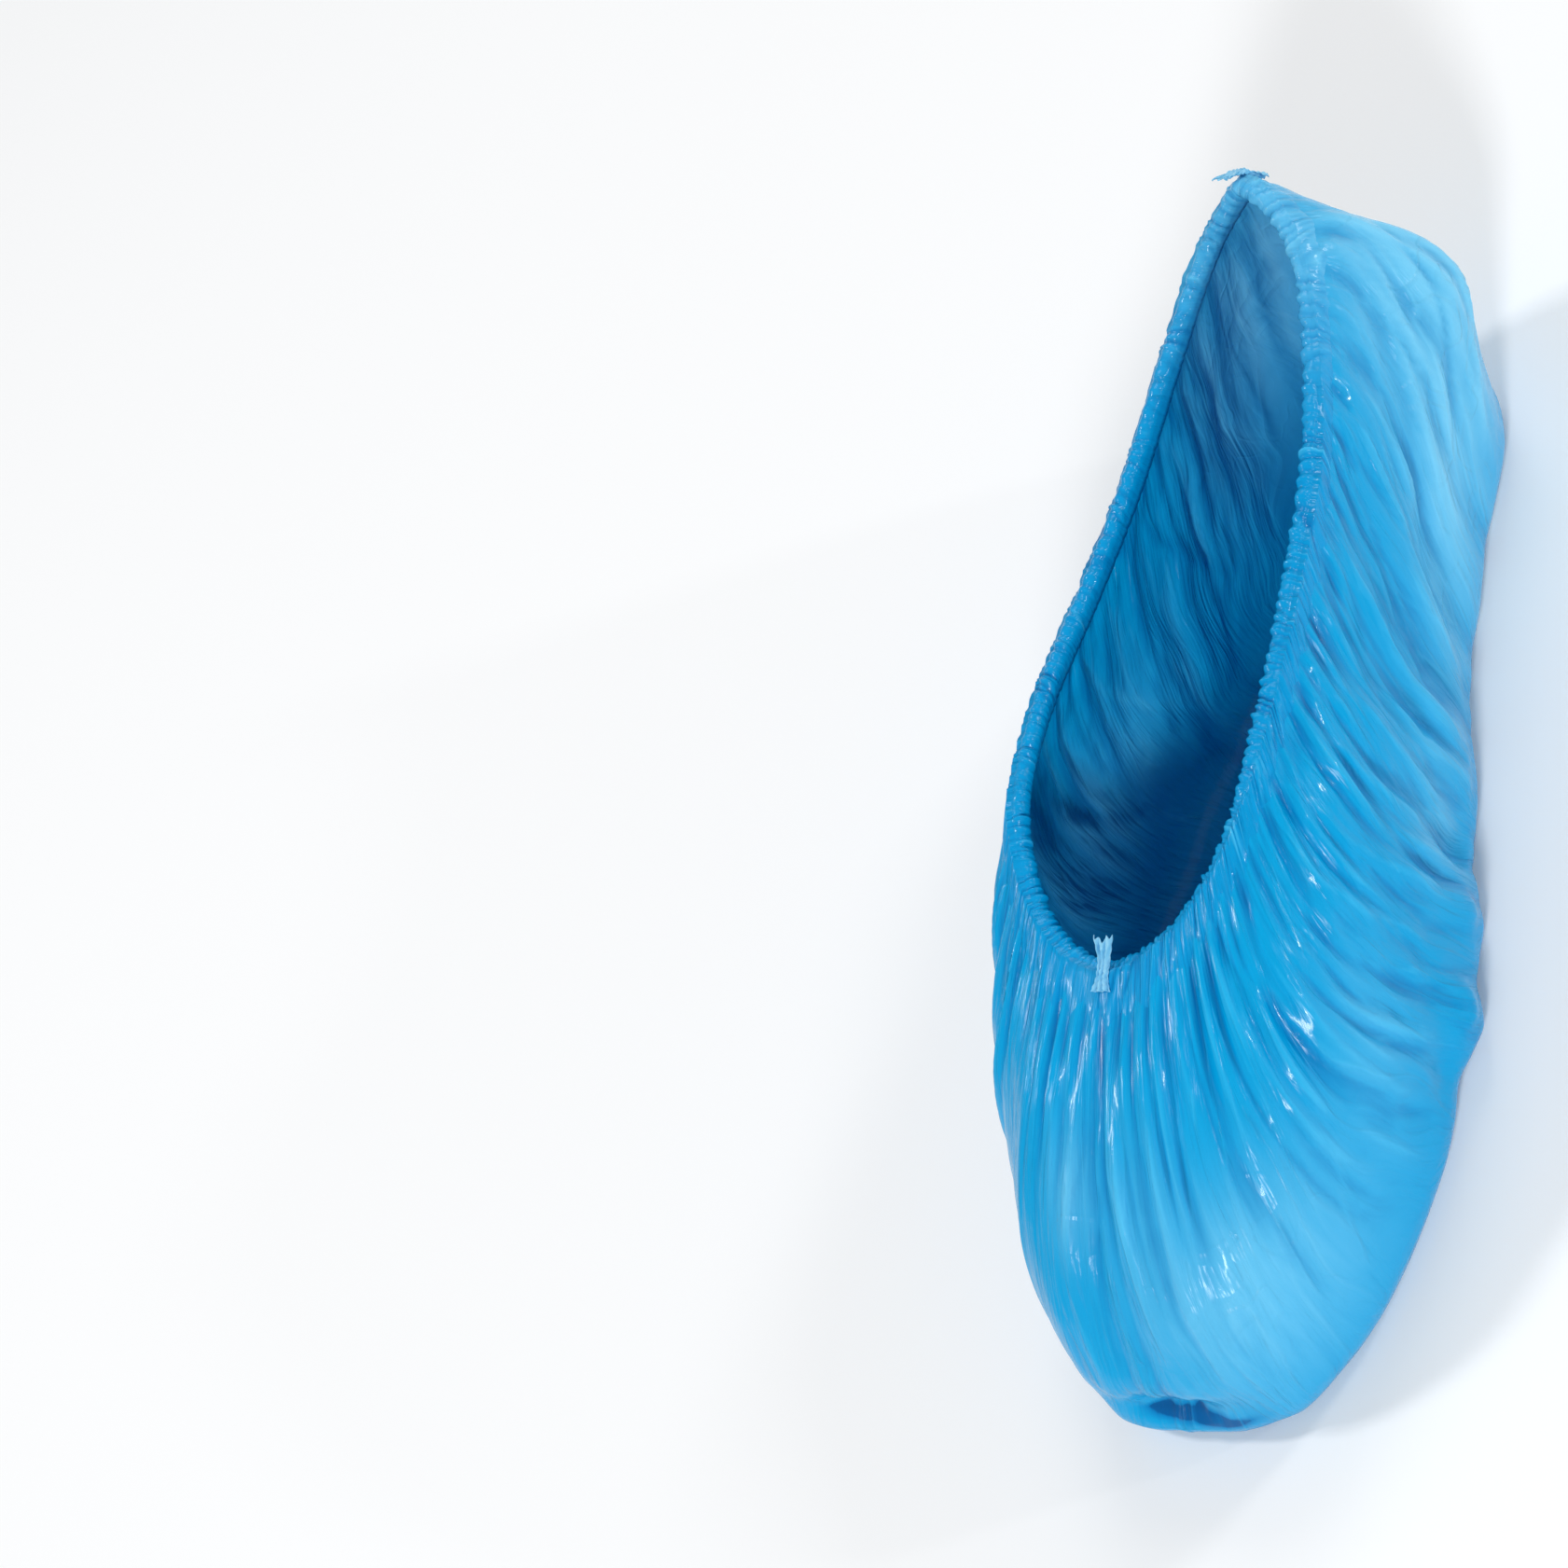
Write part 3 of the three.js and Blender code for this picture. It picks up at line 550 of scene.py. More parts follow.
def fineRelief(turns, down):
    # Pleats and creases of the film in millimetres, without the long folds under them.
    dice = np.random.RandomState(pleats["seed"])
    place = pleatTurn(turns, down)
    height = np.zeros(place.shape)
    for count, high, middle, above, below in pleats["facets"]:
        weight = bell(down - middle, np.where(down < middle, above, below))
        height += high * weight * facetLine(place, count, dice)
    patches = pleats["patchy"] * wave(place, 13, 9, down) * wave(turns, 5, -13, down, 2)
    height = height * (1 - pleats["patchy"] + patches)
    crumpled = np.array([
        crumple(rowPlace, rowDown, np.random.RandomState(pleats["crumpleSeed"]))
        for rowPlace, rowDown in zip(place, down)])
    height += pleats["crumpleHigh"] * np.minimum(1, down / pleats["crumpleFrom"]) * crumpled
    for first, top, last, low, half, high in creaseList():
        share = (down - top) / (low - top)
        inside = np.clip(share, 0, 1)
        offset = roundTo(turns, first + roundTo(last, first) * inside) * pleats["across"]
        near = (np.abs(offset) < half * pleats["creaseReach"]) & (share > 0) & (share < 1)
        along = np.clip(np.sin(math.pi * inside), 0, 1) ** pleats["creaseEnds"]
        height += np.where(near, high * along * pinch(offset, half), 0)
    return height * (1 - np.clip(bySpots(turns, down, pleats["calm"]), 0, pleats["calmMost"]))


def relief(turns, down):
    # How far the film stands out from the smooth side, in millimetres.
    height = fineRelief(turns, down)
    for turn, lean, depth, half, middle, spread in bag["folds"]:
        offset = roundTo(turns, turn + lean * down)
        across = bell(offset, half if depth > 0 else half * bag["valleyWidth"])
        height += bag["foldShare"] * bag["foldDepth"] * depth * across * bell(down - middle, spread)
    height += bag["dentDepth"] * bySpots(turns, down, bag["dents"])
    for seam in (0, 0.5):
        height += bag["seamRidge"] * bell(roundTo(turns, seam), bag["seamHalf"])
    atHem = np.minimum(1, bag["reliefAtHem"] + down / bag["reliefRise"])
    atSole = np.minimum(1, bag["reliefAtSole"] + (1 - down) / bag["reliefRise"])
    return height * atHem * atSole


def rounded(height):
    # Crests as round as the film's own bends, about a column wide.
    ring = height[:, :-1]
    ring = (np.roll(ring, 1, 1) + 2 * ring + np.roll(ring, -1, 1)) / 4
    inner = (ring[:-2] + 2 * ring[1:-1] + ring[2:]) / 4
    ring = np.concatenate([ring[:1], inner, ring[-1:]])
    return np.concatenate([ring, ring[:, :1]], 1)


def creaseTone(turns, down):
    # Height of each crease over the film about it, painted as shade in the valleys and as a pale highlight on
    # the crests.
    fine = fineRelief(turns, down)[:, :-1]
    reach, limit = pleats["toneReach"], pleats["toneLimit"]
    about = sum(np.roll(fine, step, 1) for step in range(-reach, reach + 1)) / (2 * reach + 1)
    tone = limit * np.tanh((pleats["toneOver"] * (fine - about) + pleats["toneHeight"] * fine) / limit)
    tone = np.concatenate([tone, tone[:, :1]], 1)
    # painted shade in the tuck under the toe and below the hem darkens it further
    return tone - bySpots(turns, down, paintedShadeSpots)


def flowMap(turns, down):
    # Millimetres across and along the pleats.
    return np.stack([pleatTurn(turns, down) * pleats["across"], down * pleats["tall"]], -1)


hem = {
    "depth": 6,
    "elastic": 2,
    "clearance": 0.4,  # between the elastic and the film
    "film": 1.2,  # wall of the solid that this film stands for
    "gap": 0.3,  # between the solids of the hem and of the bag
    "inset": 0.3,  # from the outside of the hem's solid to the film between high and low puckers
    "skin": 0.14,
    "columns": 1560,
    "archRows": 11,
    "legRows": 10,
    "seed": 23,
    "puckers": 390,
    "puckerDepth": 0.7,
    "closeShare": 0.7,  # shares of the puckers themselves and of waves three times as broad
    "broadShare": 0.4,
    "bunches": 47,  # stretches in which the puckers are higher or lower: how many, mean and swing
    "bunchMean": 0.75,
    "bunchSwing": 0.35,
    "slant": 0.0024,  # how far the puckers slant over the elastic and on the outer leg, in turns
    "legSlant": 0.003,
    "slantWaves": [(1.6, 19, 0), (1, 43, 1)],  # waves in the slant: share, how many, start in radians
    "edgeRuffle": 0.8,
    "innerEnd": 2.6,  # angle over the elastic, in radians, beyond which the puckers are low
    "innerShare": 0.45,
    "innerRises": (-3.0, -1.2),  # heights of the inner leg's rows, and height of its puckers
    "innerPucker": 0.3,
    "legFrom": 0.03,  # share of the outer leg at which its rows start
    "weldAt": 0.082,  # share of the side at which the hem is welded down
    "weldStray": 0.03,
    "weldLines": 110,  # stretches in which the weld strays up or down
    "weldBelow": 0.03,  # least distance below the bag's upper edge, as a share of the side
    "weldDip": 0.7,  # how far the edge goes in to the bag, so that it looks welded
    "standOff": 0.2,
    "smooth": 3,  # columns over which the bag's relief is evened out under the outer leg
    # legTone, legToneLoss and toneScale set the puckers' painted shade in their folds and painted highlight
    # on their crests
    "legTone": 1.2,  # how much the puckers colour the outer leg, and what is lost down to the weld
    "legToneLoss": 0.5,
    "toneScale": 2.2,
    "paleAt": 0.2,  # share of the side whose paleness the hem takes, and how much of it
    "paleShare": 0.8,
    "pattern": (-0.12, 0.06),  # where the film's pattern starts and ends, as shares of the side
}


def hemShare(turns):
    # Share of the side at which the film comes out from under the hem.
    up = mouthFrame(turns)[2]
    wanted = hem["depth"] / 2 + hem["gap"]
    share = np.full_like(turns, 0.03)  # a first guess, which four rounds settle
    for _ in range(4):
        drop = -np.sum((smoothSide(turns, share) - mouthLine(turns)) * up, -1)
        share *= wanted / drop
    return share


def cornerRings(foot, turns):
    # The quarter round from the foot of the side to the sole.
    out = outward(turns, np.ones_like(turns))
    out[:, 2] = 0
    out = unit(out)
    rings = []
    for angle in np.linspace(0, math.pi / 2, bag["cornerRows"] + 1)[1:]:
        ring = foot - out * bag["cornerRadius"] * (1 - math.cos(angle))
        ring[:, 2] = foot[:, 2] - (foot[:, 2] + bag["film"]) * math.sin(angle)
        rings.append(ring)
    return rings


def soleRings(edge, turns):
    # From the sole's edge to the line along its middle, with low wrinkles that run out inwards.
    middle = (edge + edge[::-1]) / 2
    centre = bag["soleLength"] / 2 - bag["toeReach"]
    middle[:, 1] = centre + (middle[:, 1] - centre) * bag["soleMiddle"]
    count, drift, bends = bag["soleWaves"]
    wrinkle = bag["soleWrinkle"] * (1 + wave(turns, count, drift, wave(turns, bends)))
    rings = []
    for share in np.linspace(0, 1, bag["soleRows"] + 1)[1:]:
        ring = edge * (1 - share) + middle * share
        ring[:, 2] += wrinkle * (1 - share) ** 2 * min(1, share * bag["soleRise"])
        rings.append(ring)
    return rings


def bagPoints():
    turns = np.linspace(0, 1, bag["columns"] + 1)
    sideShare = np.linspace(0, 1, bag["sideRows"] + 1) ** bag["rowsUp"]
    top = hemShare(turns)
    rowGrid, turnGrid = np.meshgrid(sideShare, turns, indexing="ij")
    down = top[None, :] + (1 - top[None, :]) * rowGrid
    height = rounded(relief(turnGrid, rowGrid))
    side = smoothSide(turnGrid, down) + outward(turnGrid, down) * height[..., None]
    corner = cornerRings(side[-1], turns)
    sole = soleRings(corner[-1], turns)
    points = np.concatenate([side, np.array(corner), np.array(sole)])
    points[:, -1] = points[:, 0]
    below = len(corner) + len(sole)

    def overAll(grid):  # the corner and the sole carry on what the side has at its foot
        return np.concatenate([grid, np.repeat(grid[-1:], below, 0)])

    # the creases' painted shade and painted highlight, and where the film looks pale
    values = {
        "paintedShadeAndHighlight": overAll(creaseTone(turnGrid, rowGrid)),
        "paleness": overAll(np.clip(bySpots(turnGrid, rowGrid, paleSpots), 0, 1)),
    }
    under = 1 + np.linspace(0, bag["patternUnder"], below + 1)[1:, None] * np.ones((1, len(turns)))
    deep = np.concatenate([rowGrid, under])
    return points, values, flowMap(np.tile(turns, (len(points), 1)), deep)


print("laying out the film bag")
points, values, flow = bagPoints()
filmBag = wrapGrid("filmBag", bag["columns"], len(points) - 1, points, values, flow)
closeSeam(filmBag)
thicken(filmBag, bag["sheetThickness"], -1)
print("film bag", len(filmBag.data.polygons), "faces")


def pucker(turns, lean):
    # The hem's gathers slant a little on their way down, each its own way.
    own = sum((share * wave(turns, count, start=begin) for share, count, begin in hem["slantWaves"]), 1)
    slant = turns + lean * own
    close = facetLine(slant, hem["puckers"], np.random.RandomState(hem["seed"]))
    broad = facetLine(slant, hem["puckers"] // 3, np.random.RandomState(hem["seed"] + 1))
    bunched = facetLine(turns, hem["bunches"], np.random.RandomState(hem["seed"] + 2))
    share = hem["bunchMean"] + hem["bunchSwing"] * bunched
    return share * (hem["closeShare"] * close + hem["broadShare"] * broad)


def hemPoints():
    turns = np.linspace(0, 1, hem["columns"] + 1)
    _, out, up = mouthFrame(turns)
    dice = np.random.RandomState(hem["seed"])
    outside = hem["elastic"] / 2 + hem["clearance"] + hem["film"]
    archHigh = hem["depth"] / 2 - outside
    centre = mouthLine(turns) - out * outside
    ruffle = hem["edgeRuffle"] * facetLine(turns, hem["puckers"] * 2 // 3, dice)
    radius = outside - hem["inset"]
    # heights: how far each row is gathered, which also sets its painted shade and painted highlight
    rows, heights = [], []
    inner = pucker(turns, 0)
    for rise in hem["innerRises"]:
        rows.append(centre - out * radius + up * rise + out * (hem["innerPucker"] * inner)[:, None])
        heights.append(inner)
    for angle in np.linspace(math.pi, 0, hem["archRows"]):  # over the elastic
        twisted = pucker(turns, hem["slant"] * (1 - angle / math.pi))
        swell = radius + hem["puckerDepth"] * twisted * (1 if angle < hem["innerEnd"] else hem["innerShare"])
        lift = archHigh + (swell + ruffle) * math.sin(angle)
        rows.append(centre + out * (swell * math.cos(angle))[:, None] + up * lift[:, None])
        heights.append(twisted)
    top = hemShare(turns)
    weld = hem["weldAt"] + hem["weldStray"] * facetLine(turns, hem["weldLines"], dice)
    weld = np.maximum(weld, top + hem["weldBelow"])
    for share in np.linspace(hem["legFrom"], 1, hem["legRows"]):  # outer leg, down to the weld
        down = share * weld
        row = np.clip((down - top) / (1 - top), 0, 1)
        gathered = pucker(turns, hem["slant"] + hem["legSlant"] * share)
        laid = relief(turns[None], row[None])[0]
        laid = (np.roll(laid, hem["smooth"]) + 2 * laid + np.roll(laid, -hem["smooth"])) / 4
        lift = hem["puckerDepth"] * (1 - share) * (1 + gathered) + hem["standOff"] - hem["weldDip"] * share**4
        rows.append(smoothSide(turns, down) + outward(turns, down) * (laid + lift)[:, None])
        heights.append(gathered * (hem["legTone"] - hem["legToneLoss"] * share))
    points = np.array(rows)
    points[:, -1] = points[:, 0]
    shape = (len(rows), 1)
    low = np.tile(np.linspace(*hem["pattern"], len(rows))[:, None], (1, len(turns)))
    flat = np.clip(bySpots(turns, np.full_like(turns, hem["paleAt"]), paleSpots), 0, 1)
    values = {
        "paintedShadeAndHighlight": np.array(heights) * hem["toneScale"],
        "paleness": np.tile(hem["paleShare"] * flat, shape),
    }
    return points, values, flowMap(np.tile(turns, shape), low)


print("ruching the hem")
points, values, flow = hemPoints()
ruchedHem = wrapGrid("ruchedHem", hem["columns"], len(points) - 1, points, values, flow)
closeSeam(ruchedHem)
thicken(ruchedHem, hem["skin"], -1)
print("hem", len(ruchedHem.data.polygons), "faces")


tails = {
    # turn, how far the tip leans out, lengths above the hem's upper edge and below the line of the mouth,
    # width, and how many flutes run down it
    "ends": {
        "toeSeamEnd": {
            "turn": 0.0, "lean": 1.8, "above": 3.4, "below": 6.0, "width": 5.2, "flutes": 3, "seed": 3},
        "heelSeamEnd": {
            "turn": 0.5, "lean": -3.0, "above": 4.8, "below": 7.0, "width": 6.4, "flutes": 4, "seed": 8},
    },
    "columns": 40,
    "rows": 36,
    "thickness": 0.2,
    "standOff": 1.7,  # from the line of the mouth
    "waist": 0.55,  # width at the middle as a share of the width at the ends
    "waistPower": 1.4,
    "tipFall": 2.2,  # the lean has run out at one part in so many of the way down
    "tipPower": 1.6,
    "fork": 2.6,  # how far the upper end rises towards its corners, for each half width
    "forkFall": 4,  # the fork has run out at one part in so many of the way down
    "forkRipple": 0.5,  # height of the ripple along the upper end, and its radians over the width
    "forkRipples": 31,
    "flute": 0.55,
    "fluteSpan": 1.1,  # widths that the flutes are spread over
    "fluteBend": 0.8,  # how far the flutes bend on their way down, both in radians
    "fluteBends": 5,
    "crumple": 0.34,
    "crumples": (23, 17, 29),  # radians over the width, over the length, and over the length again
    "toneWaves": 3.1,  # radians for each millimetre across
    "pattern": 16,  # length over which the film's pattern is laid
    "tone": 0.8,
    "paleness": 0.3,
}


def tailPoints(tail):
    columns, rows = tails["columns"], tails["rows"]
    sideways, out, up = [axis[0] for axis in mouthFrame(np.array([tail["turn"]]))]
    seat = mouthLine(np.array([tail["turn"]]))[0]
    phase = np.random.RandomState(tail["seed"]).uniform(0, full, 4)
    top = hem["depth"] / 2 + tail["above"]
    length = top + tail["below"]
    fluteWaves = full * tail["flutes"] / tails["fluteSpan"]
    across, slanting, along = tails["crumples"]
    grid = np.empty((rows + 1, columns + 1, 3))
    for j in range(rows + 1):
        share = j / rows
        rise = top - share * length
        narrow = (abs(share - 0.5) * 2) ** tails["waistPower"]
        wide = tail["width"] * (tails["waist"] + (1 - tails["waist"]) * narrow)
        tipped = tail["lean"] * max(0, 1 - share * tails["tipFall"]) ** tails["tipPower"]
        bent = tails["fluteBend"] * math.sin(share * tails["fluteBends"] + phase[1])
        for i in range(columns + 1):
            side = i / columns - 0.5
            ripple = tails["forkRipple"] * math.sin(side * tails["forkRipples"] + phase[1])
            fork = (tails["fork"] * abs(side) + ripple) * max(0, 1 - share * tails["forkFall"])
            flute = tails["flute"] * math.sin(side * fluteWaves + phase[0] + bent)
            crossed = math.sin(side * across + share * slanting + phase[2])
            crossed *= math.sin(share * along + phase[3])
            stand = tails["standOff"] + flute + tails["crumple"] * crossed + tipped
            grid[j, i] = seat + sideways * (side * wide) + out * stand + up * (rise + fork)
    return columns, rows, grid


seamEnds = []
for name, tail in tails["ends"].items():
    columns, rows, grid = tailPoints(tail)
    across, below = np.meshgrid(
        np.linspace(0, tail["width"], columns + 1), np.linspace(0, tails["pattern"], rows + 1))
    values = {
        "paintedShadeAndHighlight": tails["tone"] * np.sin(across * tails["toneWaves"] + below),
        "paleness": np.full(across.shape, tails["paleness"]),
    }
    piece = wrapGrid(name, columns, rows, grid, values, np.stack([across, below], -1))
    thicken(piece, tails["thickness"], 0)
    seamEnds.append(piece)
print("seam ends", [piece.name for piece in seamEnds])


def newMaterial(name):
    material = bpy.data.materials.new(name)
    material.use_nodes = True
    material.node_tree.nodes.clear()
    return material


def addNode(material, kind, inputs=None, **settings):
    # Each input is given another node's socket, or a value of its own.
    node = material.node_tree.nodes.new(kind)
    for key, value in settings.items():
        setattr(node, key, value)
    for socket, value in (inputs or {}).items():
        if isinstance(value, bpy.types.NodeSocket):
            material.node_tree.links.new(value, node.inputs[socket])
        else:
            node.inputs[socket].default_value = value
    return node


def thinLines(material, source, half):
    # 1 along the lines where a noise passes its middle, 0 beside them
    middle = addNode(material, "ShaderNodeMath", {0: source, 1: 0.5}, operation="SUBTRACT")
    apart = addNode(material, "ShaderNodeMath", {0: middle.outputs[0]}, operation="ABSOLUTE")
    lines = addNode(material, "ShaderNodeMapRange", {
        "Value": apart.outputs[0], "From Max": half, "To Min": 1.0, "To Max": 0.0})
    return lines.outputs[0]


filmLook = {
    # shade and deep are painted shade for the valleys, crest a painted highlight for the crests, thin the
    # film's own blue
    "shade": "#005B98",
    "deep": "#007DBC",
    "thin": "#009DD6",
    "crest": "#2BB2E6",
    # pale: film that lies flat on what is under it, partly a painted sheen
    "pale": "#74CAF0",
    # colours from the painted shade of the valleys up to the painted highlight of the crests, each with its
    # place on the ramp
    "stops": [("shade", 0.0), ("deep", 0.11), ("thin", 0.46), ("thin", 0.66), ("crest", 0.92)],
    "foldSpan": 2.4,  # fold height to each side of nothing that the ramp spans
    "streakTone": 0.3,  # how much each pattern adds to the place on the ramp
    "creaseTone": 0.1,
    "cloudTone": 0.08,
    "toneBack": 0.21,  # what the patterns add on average, taken off again
    "paleGain": 1.5,
    "roughness": (0.13, 0.31),  # where the cloud noise is lowest and highest
    "ior": 1.51,
    "specular": 0.12,
    "coat": 0.13,
    "coatRoughness": 0.07,
    "streakWide": 2.4,  # fine pleats
    "streakLong": 24,
    "creaseWide": 8.5,  # sharp thin creases that run with the pleats
    "creaseLong": 80,
    "swirl": 15,  # lines of slack film
    "dimpleWide": 4.5,
    "dimpleLong": 11.25,
    "cloud": 7,  # uneven gloss of cast film, drawn coarser than it is so that it shows
    "creaseHalf": 0.035,  # half widths of the lines, as a share of the noise that they are read from
    "slackHalf": 0.06,
    "creaseShare": 0.55,  # height of the thin creases beside that of the slack lines
    # strength and height of each relief
    "streakBump": (0.8, 0.9),
    "lineBump": (0.4, 0.6),
    "dimpleBump": (0.5, 0.5),
}


def makeFilm(name, look):
    # Cast chlorinated polyethylene film: soft, glossy and a little cloudy. The valleys of its folds get a
    # painted deep blue shade and their crests a painted pale highlight, while film that lies flat on what is
    # under it looks pale, partly with a painted sheen.
    material = newMaterial(name)
    flow = addNode(material, "ShaderNodeUVMap", uv_map="flow").outputs["UV"]
    place = addNode(material, "ShaderNodeTexCoord").outputs["Object"]
    # the value that sets the painted shade in the valleys and the painted highlight on the crests, not a
    # height
    height = addNode(material, "ShaderNodeAttribute", attribute_name="paintedShadeAndHighlight").outputs["Fac"]
    paleness = addNode(material, "ShaderNodeAttribute", attribute_name="paleness").outputs["Fac"]

    cells = {}  # for the patterns that run with the pleats
    for pattern in ("streak", "crease", "dimple"):
        scale = (1000 / look[pattern + "Wide"], 1000 / look[pattern + "Long"], 1.0)
        mapping = addNode(material, "ShaderNodeMapping", {"Vector": flow, "Scale": scale})
        cells[pattern] = mapping.outputs["Vector"]
    streaks = addNode(material, "ShaderNodeTexNoise", {
        "Vector": cells["streak"], "Scale": 1.0, "Detail": 2.5, "Roughness": 0.5, "Distortion": 0.35})
    drawn = addNode(material, "ShaderNodeTexNoise", {
        "Vector": cells["crease"], "Scale": 1.0, "Detail": 1.5, "Roughness": 0.45, "Distortion": 0.2})
    dimples = addNode(
        material, "ShaderNodeTexVoronoi", {"Vector": cells["dimple"], "Scale": 1.0},
        feature="F1", voronoi_dimensions="2D")
    swirls = addNode(material, "ShaderNodeTexNoise", {
        "Vector": place, "Scale": 1000 / look["swirl"], "Detail": 1.0, "Roughness": 0.4, "Distortion": 0.9})
    clouds = addNode(material, "ShaderNodeTexNoise", {
        "Vector": place, "Scale": 1000 / look["cloud"], "Detail": 3.0})
    creases = thinLines(material, drawn.outputs["Fac"], look["creaseHalf"])
    slack = thinLines(material, swirls.outputs["Fac"], look["slackHalf"])

    # the colour is painted shade in the valleys and a painted highlight on the crests, set by the folds'
    # value, and the patterns add a little to it
    tone = addNode(material, "ShaderNodeMapRange", {
        "Value": height, "From Min": -look["foldSpan"], "From Max": look["foldSpan"]})
    for pattern, share in (
        (streaks.outputs["Fac"], "streakTone"),
        (creases, "creaseTone"),
        (clouds.outputs["Fac"], "cloudTone"),
    ):
        tone = addNode(
            material, "ShaderNodeMath", {0: pattern, 1: look[share], 2: tone.outputs[0]},
            operation="MULTIPLY_ADD")
    tone = addNode(
        material, "ShaderNodeMath", {0: tone.outputs[0], 1: look["toneBack"]}, operation="SUBTRACT")
    colour = addNode(material, "ShaderNodeValToRGB", {"Fac": tone.outputs[0]})
    stops = [(at, hexColour(look[shade])) for shade, at in look["stops"]]
    ends = colour.color_ramp.elements
    ends[0].position, ends[0].color = stops[0]
    ends[1].position, ends[1].color = stops[-1]
    for at, shade in stops[1:-1]:
        colour.color_ramp.elements.new(at).color = shade
    laid = addNode(material, "ShaderNodeMath", {0: paleness, 1: tone.outputs[0]}, operation="MULTIPLY")
    shown = addNode(
        material, "ShaderNodeMath", {0: laid.outputs[0], 1: look["paleGain"]},
        operation="MULTIPLY", use_clamp=True)
    mixed = addNode(
        material, "ShaderNodeMix",
        {0: shown.outputs[0], 6: colour.outputs["Color"], 7: hexColour(look["pale"])}, data_type="RGBA")

    rough = addNode(material, "ShaderNodeMapRange", {
        "Value": clouds.outputs["Fac"], "To Min": look["roughness"][0], "To Max": look["roughness"][1]})
    faint = addNode(
        material, "ShaderNodeMath", {0: creases, 1: look["creaseShare"]}, operation="MULTIPLY")
    lines = addNode(
        material, "ShaderNodeMath", {0: slack, 1: paleness, 2: faint.outputs[0]}, operation="MULTIPLY_ADD")
    bump = {}
    for pattern, key in (
        (streaks.outputs["Fac"], "streakBump"),
        (lines.outputs[0], "lineBump"),
        (dimples.outputs["Distance"], "dimpleBump"),
    ):
        strength, high = look[key]
        relieved = addNode(material, "ShaderNodeBump", {
            "Height": pattern, "Strength": strength, "Distance": high * mm, **bump})
        bump = {"Normal": relieved.outputs["Normal"]}
    shader = addNode(material, "ShaderNodeBsdfPrincipled", {
        "Base Color": mixed.outputs[2],
        "Roughness": rough.outputs[0],
        "IOR": look["ior"],
        "Specular IOR Level": look["specular"],
        "Coat Weight": look["coat"],
        "Coat Roughness": look["coatRoughness"],
        **bump,
    })
    addNode(material, "ShaderNodeOutputMaterial", {"Surface": shader.outputs["BSDF"]})
    return material


elasticLook = {
    "bare": "#C9D6DE",
    "dusted": "#F1F4F5",
    "dust": 10 / 9,  # patches of talc, drawn coarser than the grains so that they show
    "dustHigh": 0.2,
    "roughness": 0.75,
    "ior": 1.52,
}


def makeElastic():
    # Bare latex rubber thread, dusted with talc: matt and off-white.
    material = newMaterial("talcedRubberThread")
    place = addNode(material, "ShaderNodeTexCoord").outputs["Object"]
    dust = addNode(material, "ShaderNodeTexNoise", {
        "Vector": place, "Scale": 1000 / elasticLook["dust"], "Detail": 3.0})
    colour = addNode(material, "ShaderNodeValToRGB", {"Fac": dust.outputs["Fac"]})
    colour.color_ramp.elements[0].color = hexColour(elasticLook["bare"])
    colour.color_ramp.elements[1].color = hexColour(elasticLook["dusted"])
    bump = addNode(material, "ShaderNodeBump", {
        "Height": dust.outputs["Fac"], "Strength": 0.4, "Distance": elasticLook["dustHigh"] * mm})
    shader = addNode(material, "ShaderNodeBsdfPrincipled", {
        "Base Color": colour.outputs["Color"],
        "Roughness": elasticLook["roughness"],
        "IOR": elasticLook["ior"],
        "Normal": bump.outputs["Normal"],
    })
    addNode(material, "ShaderNodeOutputMaterial", {"Surface": shader.outputs["BSDF"]})
    return material


bagFilm = makeFilm("castBlueFilm", filmLook)
# two layers on each other look deeper blue, with a deeper painted shade in the gathers and a brighter painted
# highlight on their crests
hemFilm = makeFilm("doubledHemFilm", {
    **filmLook, "deep": "#006DB0", "thin": "#0095D2", "crest": "#3DB8EA"})
# film that was melted together by the weld looks whitish, and its painted shade and painted highlight are
# paler to match
seamFilm = makeFilm("heatWeldedFilm", {
    **filmLook,
    "shade": "#1C86C0",
    "deep": "#2E9CD4",
    "thin": "#74C6EC",
    "crest": "#A9DCF2",
    "pale": "#B9E3F4",
})
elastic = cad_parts["rim_elastic"]
elastic.data.materials.clear()
elastic.data.materials.append(makeElastic())

for piece, material, node, slot in (
    (filmBag, bagFilm, "film_bag", "film"),
    (ruchedHem, hemFilm, "rim_hem", "hem_film"),
    (seamEnds[0], seamFilm, "toe_seam_tail", "seam_film"),
    (seamEnds[1], seamFilm, "heel_seam_tail", "seam_film"),
):
    piece.data.materials.clear()
    piece.data.materials.append(material)
    makeActive(piece)
    bpy.ops.object.shade_smooth()
    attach(piece, "root")
    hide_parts(node)
print("finishes done")


studio = {  # metres
    "floorSize": 6.0,
    "floorGap": 0.0002,  # between the sole and the floor
    "paper": "#F4F5F6",
    "grain": 1 / 700,  # of the paper, drawn coarser than it is so that it shows
    "grainHigh": 0.0002,
    "target": (0, 0, 0.04),
    "world": 0.33,
    "lights": {
        "key": {"at": (0.75, -1.5, 1.0), "size": 0.28, "power": 19.0},
        "left": {"at": (-1.3, -0.2, 1.5), "size": 0.25, "power": 12.0},
        "side": {"at": (1.1, 1.3, 0.9), "size": 0.3, "power": 8.0},
        # small, so that it draws bright specks on the side
        "glint": {"at": (1.75, 0.45, 0.5), "size": 0.08, "power": 4.4},
        "back": {"at": (-0.2, 1.5, 1.4), "size": 0.8, "power": 9.0},
    },
}


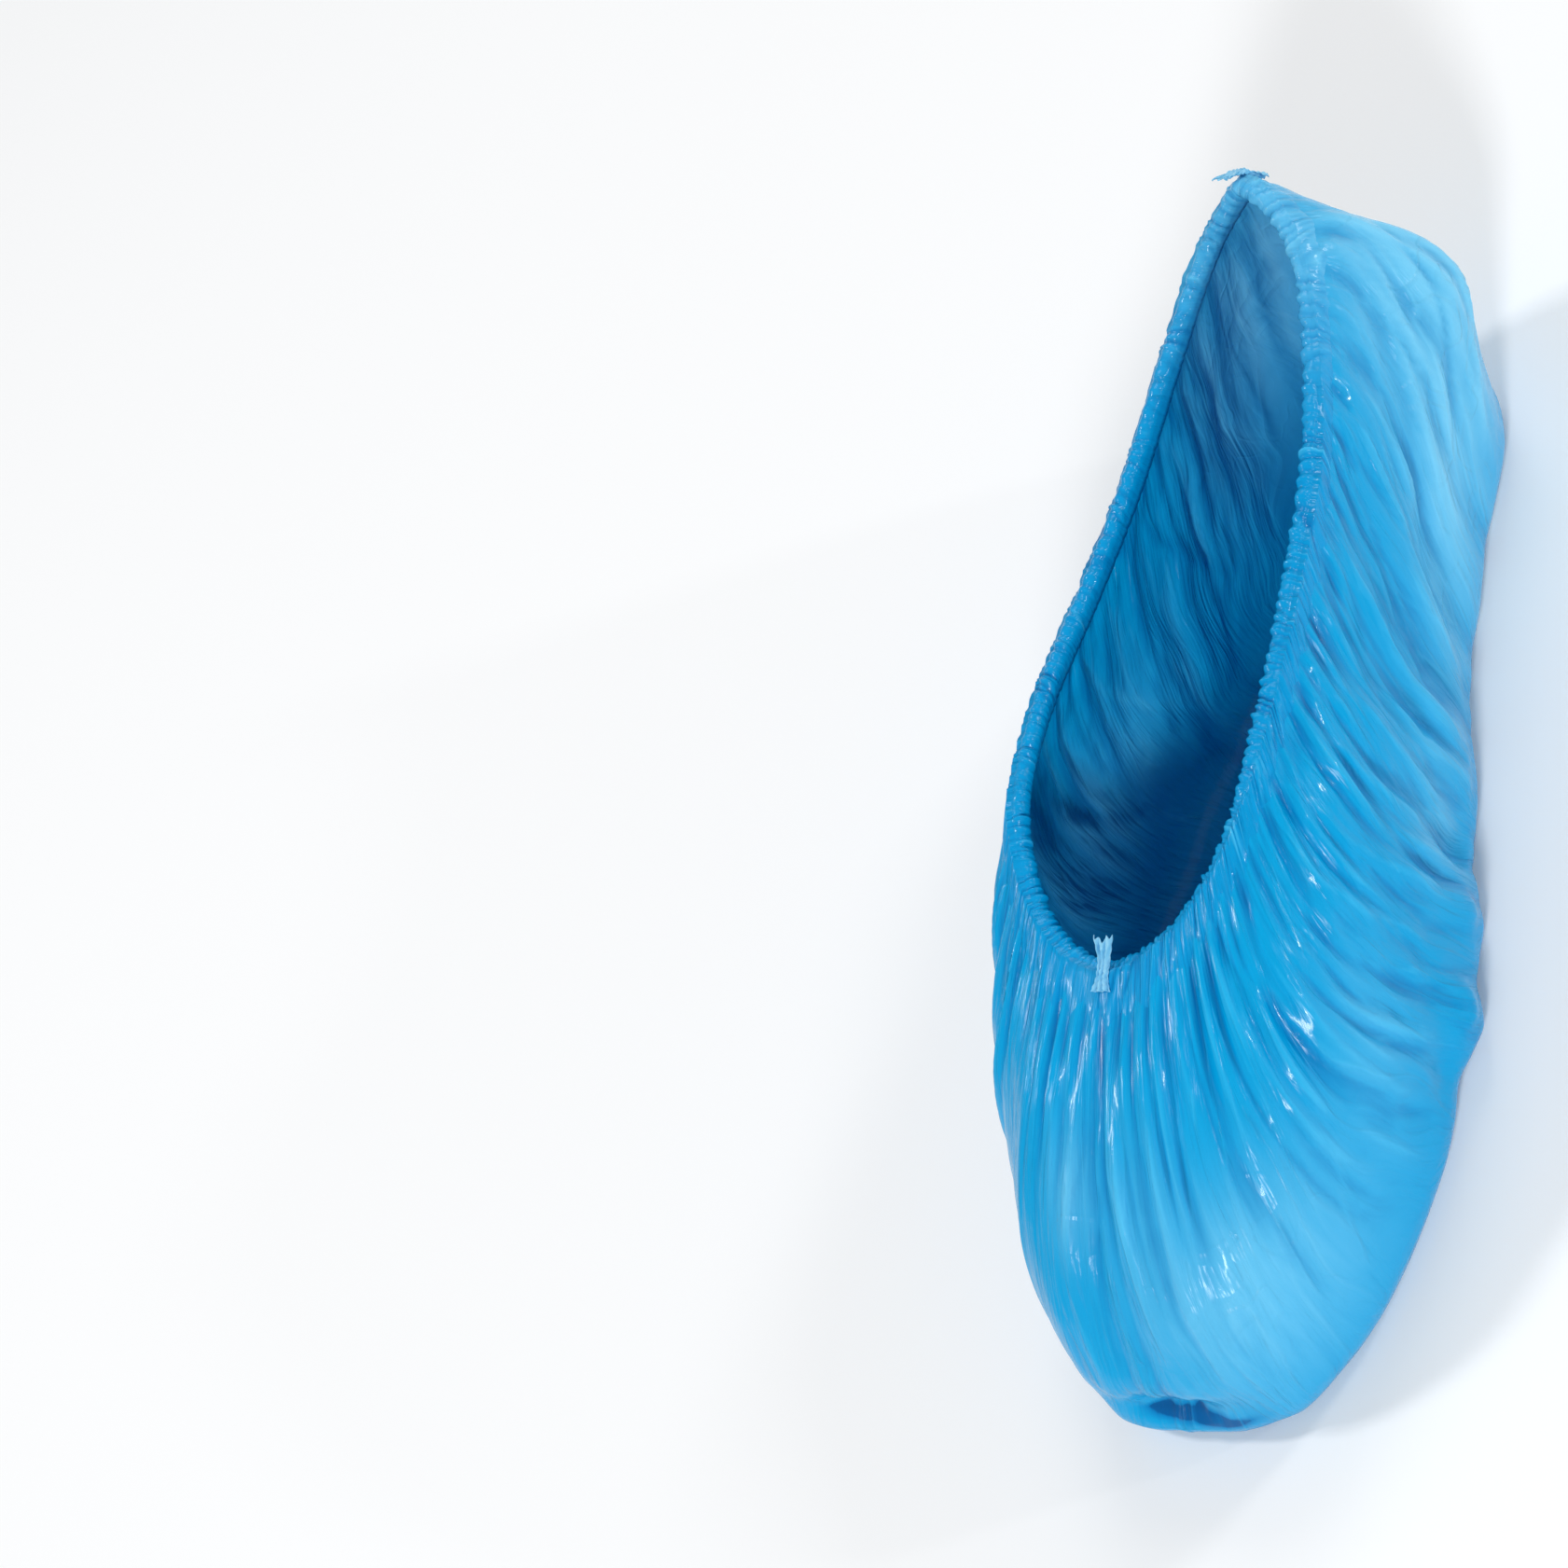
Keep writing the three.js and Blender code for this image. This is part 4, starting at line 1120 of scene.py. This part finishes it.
def makePaper():
    # Seamless paper of wood pulp, pressed smooth: matt and nearly white, with a faint grain.
    material = newMaterial("paleSeamlessPaper")
    place = addNode(material, "ShaderNodeTexCoord").outputs["Object"]
    grain = addNode(material, "ShaderNodeTexNoise", {
        "Vector": place, "Scale": 1 / studio["grain"], "Detail": 2.0})
    bump = addNode(material, "ShaderNodeBump", {
        "Height": grain.outputs["Fac"], "Strength": 0.08, "Distance": studio["grainHigh"]})
    shader = addNode(material, "ShaderNodeBsdfPrincipled", {
        "Base Color": hexColour(studio["paper"]), "Roughness": 0.9, "Normal": bump.outputs["Normal"]})
    addNode(material, "ShaderNodeOutputMaterial", {"Surface": shader.outputs["BSDF"]})
    return material


deselectAll()
bpy.ops.mesh.primitive_plane_add(
    size=studio["floorSize"], location=(0, 0, -bag["film"] * mm - studio["floorGap"]))
floor = bpy.context.object
floor.name = "paleFloor"
bpy.ops.object.transform_apply(location=True, rotation=True, scale=True)
floor.data.materials.append(makePaper())

world = bpy.data.worlds.new("paleStudio")
bpy.context.scene.world = world
world.use_nodes = True
background = world.node_tree.nodes["Background"]
background.inputs["Color"].default_value = (1, 1, 1, 1)
background.inputs["Strength"].default_value = studio["world"]

for name, light in studio["lights"].items():
    deselectAll()
    bpy.ops.object.light_add(type="AREA", location=light["at"])
    lamp = bpy.context.object
    lamp.name = name + "Light"
    lamp.data.size = light["size"]
    lamp.data.energy = light["power"]
    beam = Vector(studio["target"]) - Vector(light["at"])
    lamp.rotation_euler = beam.to_track_quat("-Z", "Y").to_euler()

# Camera fitted to the photo: its axes, its place in metres and its lens in millimetres.
view = {
    "right": (0.74515, 0.23771, -0.62279),
    "up": (0.06739, 0.90198, 0.42594),
    "back": (0.66325, -0.35977, 0.65642),
    "place": (0.70985, -0.45139, 0.90389),
    "lens": 107.46,
    "sensor": 36,
    "nearest": 0.01,
}
deselectAll()
bpy.ops.object.camera_add(location=view["place"])
camera = bpy.context.object
camera.name = "photoCamera"
turned = Matrix((view["right"], view["up"], view["back"])).transposed()
camera.rotation_euler = turned.to_euler()
camera.data.lens = view["lens"]
camera.data.sensor_width = view["sensor"]
camera.data.clip_start = view["nearest"]
bpy.context.scene.camera = camera
bpy.context.scene.view_settings.view_transform = "Standard"
print("studio ready")
